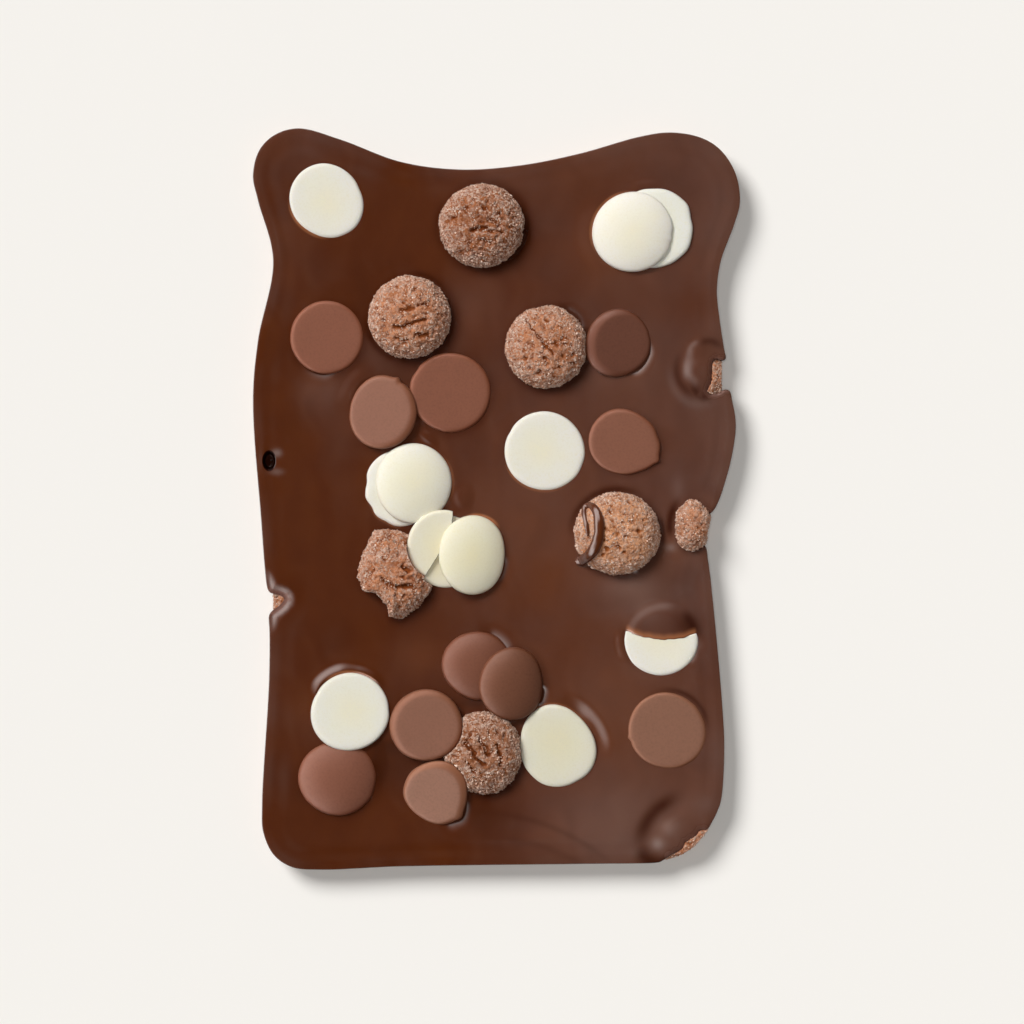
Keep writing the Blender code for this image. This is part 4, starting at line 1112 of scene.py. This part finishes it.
def dark_chocolate():
    m = Skin("dark_chocolate_skin")
    colour = m.mix(m.ramp(m.noise(0.13, 5.0, 0.62), 0.40, 0.66), (0.0765, 0.0172, 0.0044), (0.070, 0.0152, 0.0036))
    warm, pale, lee, film, dull = (m.attribute(name) for name in ("warm", "pale", "lee", "film", "dull"))
    colour = m.mix(m.ramp(warm, 0.0, 0.2, 0.0, 0.2), colour, (0.50, 0.145, 0.03))
    # Painted shade: darker where the warmth is negative.
    colour = m.mix(m.ramp(warm, 0.0, -0.07, 0.0, 0.5), colour, (0.020, 0.005, 0.002))
    # Painted sheen: a greyish reflection and highlights, with random mottling.
    colour = m.mix(m.ramp(pale, 0.0, 0.4, 0.0, 0.4), colour, (0.50, 0.45, 0.42))
    # Painted shade: shadows beside pieces, along the openings and in rings round swellings darken the colour.
    colour = m.mix(m.ramp(lee, 0.0, 1.0, 0.0, 0.84), colour, (0.022, 0.0032, 0.0005))
    # Painted shade inside the burst bubble: nearly black.
    colour = m.mix(m.ramp(lee, 1.1, 1.5, 0.0, 0.97), colour, (0.0085, 0.0012, 0.0002))
    colour = m.mix(m.ramp(film, 0.1, 1.0, 0.0, 0.95), colour, (0.33, 0.12, 0.05))
    rough = m.math("ADD", m.ramp(m.noise(0.3, 4.0), 0.3, 0.7, 0.15, 0.19), m.ramp(dull, 0.0, 1.0, 0.0, 0.6))
    return m.finish(colour, rough, 1.48, {
        "Specular IOR Level": m.ramp(lee, 1.1, 1.5, 0.5, 0.06),
        "Normal": m.bump(m.noise(0.7), 0.006, 0.3),
    })  # fmt: skip


def white_chocolate(name, colour):
    """Ivory, faintly mottled and translucent, whiter towards the rim."""
    m = Skin(name)
    reach = m.math("MULTIPLY_ADD", m.noise(0.1, 2.0), 1.1, m.attribute("middle"))
    shade = m.mix(m.ramp(reach, 0.55, 1.0), tinted(colour, 0.985, 0.99, 1.07), colour)
    shade = m.mix(m.ramp(reach, 0.95, 1.5), shade, tinted(colour, 1.01, 0.985, 0.90))
    shade = m.mix(m.ramp(m.noise(2.2, 2.0), 0.48, 0.72), shade, tinted(colour, 0.97, 0.955, 0.92))
    return m.finish(shade, m.ramp(m.noise(0.8), 0.3, 0.7, 0.52, 0.64), 1.45, {
        "Subsurface Weight": 0.25,
        "Subsurface Radius": (1.0, 0.75, 0.4),
        "Subsurface Scale": 0.9 * MM,
        "Normal": m.bump(m.noise(1.8, 4.0), 0.03, 0.3),
    })  # fmt: skip


def milk_chocolate(name, colour):
    """Matt brown with a faint bloom and fine specks, redder at the rim."""
    m = Skin(name)
    shade = m.mix(m.ramp(m.noise(0.07, 2.0), 0.35, 0.65), colour, tinted(colour, 1.06, 1.06, 1.06))
    shade = m.mix(m.ramp(m.noise(1.8), 0.45, 0.75), shade, tinted(colour, 0.86, 0.86, 0.86))
    rim = m.ramp(m.attribute("middle"), 0.13, 0.03, 0.0, 0.85)
    shade = m.mix(rim, shade, tinted(colour, 0.93, 0.72, 0.52))
    rough = m.ramp(m.noise(0.9), 0.3, 0.7, 0.44, 0.54)
    return m.finish(shade, rough, 1.4, {"Normal": m.bump(m.noise(1.6, 4.0), 0.03, 0.35)})


def biscuit_crumb(name, colour):
    """Baked crumb: granular, darker in its hollows, dusted with fine sugar on its flanks."""
    m = Skin(name)
    deep = tinted(colour, 0.42, 0.27, 0.15)
    tone = m.ramp(m.noise(0.33, 4.0, 0.6), 0.34, 0.66)
    shade = m.mix(tone, tinted(colour, 0.84, 0.84, 0.84), tinted(colour, 1.14, 1.18, 1.22))
    cells = m.add("TexVoronoi", {"Vector": m.place(2.1), "Scale": 1.0})
    chance = m.add("SeparateColor", {0: cells.outputs["Color"]})
    flank = m.attribute("flank")
    clump = m.ramp(m.noise(0.42, 3.0, 0.6), 0.42, 0.60)
    spread = m.math("MAXIMUM", clump, m.ramp(flank, 0.0, 1.0, 0.15, 0.9))
    dusted = m.math("MULTIPLY", m.ramp(chance.outputs[0], 0.35, 1.0, 0.0, 0.85), spread)
    shade = m.mix(dusted, shade, (0.58, 0.42, 0.34))
    frost = m.ramp(m.noise(0.95, 3.0, 0.6), 0.50, 0.64, 0.0, 0.8)
    frost = m.math("MULTIPLY", frost, m.ramp(flank, 0.0, 1.0, 0.35, 0.9))
    shade = m.mix(frost, shade, (0.57, 0.445, 0.38))
    shade = m.mix(m.ramp(chance.outputs[1], 0.6, 1.0, 0.0, 0.55), shade, deep)
    shade = m.mix(m.ramp(m.noise(0.9, 4.0, 0.7), 0.35, 0.43, 0.9, 0.0), shade, deep)
    shade = m.mix(m.ramp(m.attribute("hollow"), 0.12, 0.6), shade, deep)
    fine = m.bump(cells.outputs["Distance"], -0.2, 0.7)
    normal = m.bump(m.noise(1.1, 4.0, 0.65), 0.24, 0.6, Normal=fine)
    return m.finish(shade, 0.85, 1.4, {"Specular IOR Level": 0.25, "Normal": normal})


def sugar():
    m = Skin("sugar")
    colour = m.mix(m.ramp(m.noise(0.9, 1.0), 0.38, 0.66), (0.38, 0.20, 0.125), (0.59, 0.44, 0.355))
    return m.finish(colour, 0.35, 1.5, {"Normal": m.bump(m.noise(3.0, 2.0), 0.04, 0.3)})


def add_floor():
    corners = [(x * FLOOR_REACH, y * FLOOR_REACH, 0) for x, y in ((-1, -1), (1, -1), (1, 1), (-1, 1))]
    floor = new_object("floor", corners, [(0, 1, 2, 3)], smooth=False)
    floor.location.z = -0.05 * MM
    card = Skin("floor_card")
    floor.data.materials.append(card.finish((0.893, 0.868, 0.826), 1.0, 1.5, {"Specular IOR Level": 0.0}))


def add_lights(scene):
    """A dim room with a band of light that only gloss shows, and two soft lights."""
    scene.world = bpy.data.worlds.new("room")
    scene.world.use_nodes = True
    room = Nodes(scene.world.node_tree)
    where = room.add("TexCoord", {}).outputs["Generated"]
    height = room.add("SeparateXYZ", {0: where}).outputs["Z"]
    leaning = room.add("VectorMath", {0: where, 1: BAND_DIRECTION}, operation="DOT_PRODUCT").outputs["Value"]
    rising = room.ramp(height, *BAND_TOP, kind="SMOOTHSTEP")
    band = room.math("MULTIPLY", room.ramp(leaning, *BAND_SIDE, kind="SMOOTHSTEP"), rising)
    band = room.math("MULTIPLY", band, room.ramp(height, *BAND_FOOT, kind="SMOOTHSTEP"))
    gloss = room.math("MULTIPLY_ADD", band, BAND_LEVEL, room.math("MULTIPLY", rising, ROOM_GLOSS))
    is_gloss = room.add("LightPath", {}).outputs["Is Glossy Ray"]
    level = room.add("Mix", {0: is_gloss, 2: ROOM_LEVEL, 3: gloss}).outputs[0]
    background = room.tree.nodes["Background"]
    room.put((1.0, 0.985, 0.965), background.inputs["Color"])
    room.put(level, background.inputs["Strength"])

    for name, azimuth, zenith, width, strength in SUNS:
        lamp = bpy.data.lights.new(name, "SUN")
        lamp.energy = strength
        lamp.angle = math.radians(width)
        light = bpy.data.objects.new(name, lamp)
        a, t = math.radians(azimuth), math.radians(zenith)
        direction = Vector((math.sin(t) * math.cos(a), math.sin(t) * math.sin(a), math.cos(t)))
        light.rotation_euler = direction.to_track_quat("Z", "Y").to_euler()
        light.visible_glossy = False
        scene.collection.objects.link(light)


def add_camera(scene):
    camera = bpy.data.cameras.new("camera")
    camera.sensor_width = 36.0
    camera.lens = camera.sensor_width * CAMERA_HEIGHT / VIEW_WIDTH
    camera.clip_end = 20.0
    holder = bpy.data.objects.new("camera", camera)
    holder.location = Vector((*VIEW_CENTRE, SLAB_TOP + CAMERA_HEIGHT)) * MM
    scene.collection.objects.link(holder)
    scene.camera = holder
    scene.view_settings.view_transform = "Standard"
    scene.view_settings.look = "None"


@cache
def shared_material(key):
    """The material of a piece's own tint, or of its kind."""
    makers = {"white": white_chocolate, "milk": milk_chocolate, "biscuit": biscuit_crumb}
    return makers[key.split("_")[0]](key + "_skin", TINTS[key][0])


def dress_piece(obj, piece, kind, slot):
    dress(obj, shared_material(piece.name if piece.name in TINTS else kind), slot, piece.name)


def add_button(button):
    vertices, faces, middle = make_button(lifted(button))
    if button is HALF_COATED:
        vertices[:, 2] -= 1.8 * smoothstep((vertices[:, 1] - coat_line(vertices[:, 0]) + 0.1) / 0.6)
    obj = closed(new_object(button.name + "_drop", vertices, faces))
    if "broken" in button.name:
        cut_at_crack(obj)
        x, y = np.array([v.co[:2] for v in obj.data.vertices]).T / MM
        middle = 1 - np.hypot(x - button.x, y - button.y) / button.radius
    set_attribute(obj, "middle", middle)
    kind = button.name.split("_")[0]
    dress_piece(obj, button, kind, kind + "_chocolate")


def add_biscuits():
    wall = resampled(slab_outline(False), 0.5)
    opening, _ = resampled(slab_outline(True), 0.3)
    draw = random.Random(11)
    spots = []
    for biscuit in BISCUITS:
        points, faces, grid, hollow, flank = make_biscuit(biscuit)
        points, is_open = kept_below_buttons(points, biscuit)
        side = FLAT_SIDES.get(biscuit.name, 0.0)
        if side:
            points[:, 0] = (np.minimum if side > 0 else np.maximum)(points[:, 0], side)
        if biscuit.name in COVERED or "edge" in biscuit.name:
            points = kept_inside(points, *wall)
        if biscuit.name in COVERED:
            points, is_open = kept_under(points, opening)
        obj = closed(new_object(biscuit.name + "_crumb", points, faces))
        set_attribute(obj, "hollow", hollow)
        set_attribute(obj, "flank", flank)
        dress_piece(obj, biscuit, "biscuit", "biscuit")
        spots += sugar_spots(points, grid, biscuit, draw, is_open)
    dress(new_object("sugar_grains", *grain_mesh(spots), smooth=False), sugar(), "biscuit")


def main():
    add_floor()
    add_lights(bpy.context.scene)
    add_camera(bpy.context.scene)
    dark = dark_chocolate()
    dress(make_slab(), dark, "dark_chocolate", "chocolate_slab")
    for button in BUTTONS:
        add_button(button)
    add_biscuits()
    drizzled = next(biscuit for biscuit in BISCUITS if biscuit.name == "biscuit_drizzled")
    thread = new_object("drizzle", *make_drizzle(drizzled))
    # The thread gets a faint painted sheen and a little warmth.
    set_attribute(thread, "pale", np.full(len(thread.data.vertices), 0.004))
    set_attribute(thread, "warm", np.full(len(thread.data.vertices), 0.04))
    dress(thread, dark, "dark_chocolate")


main()
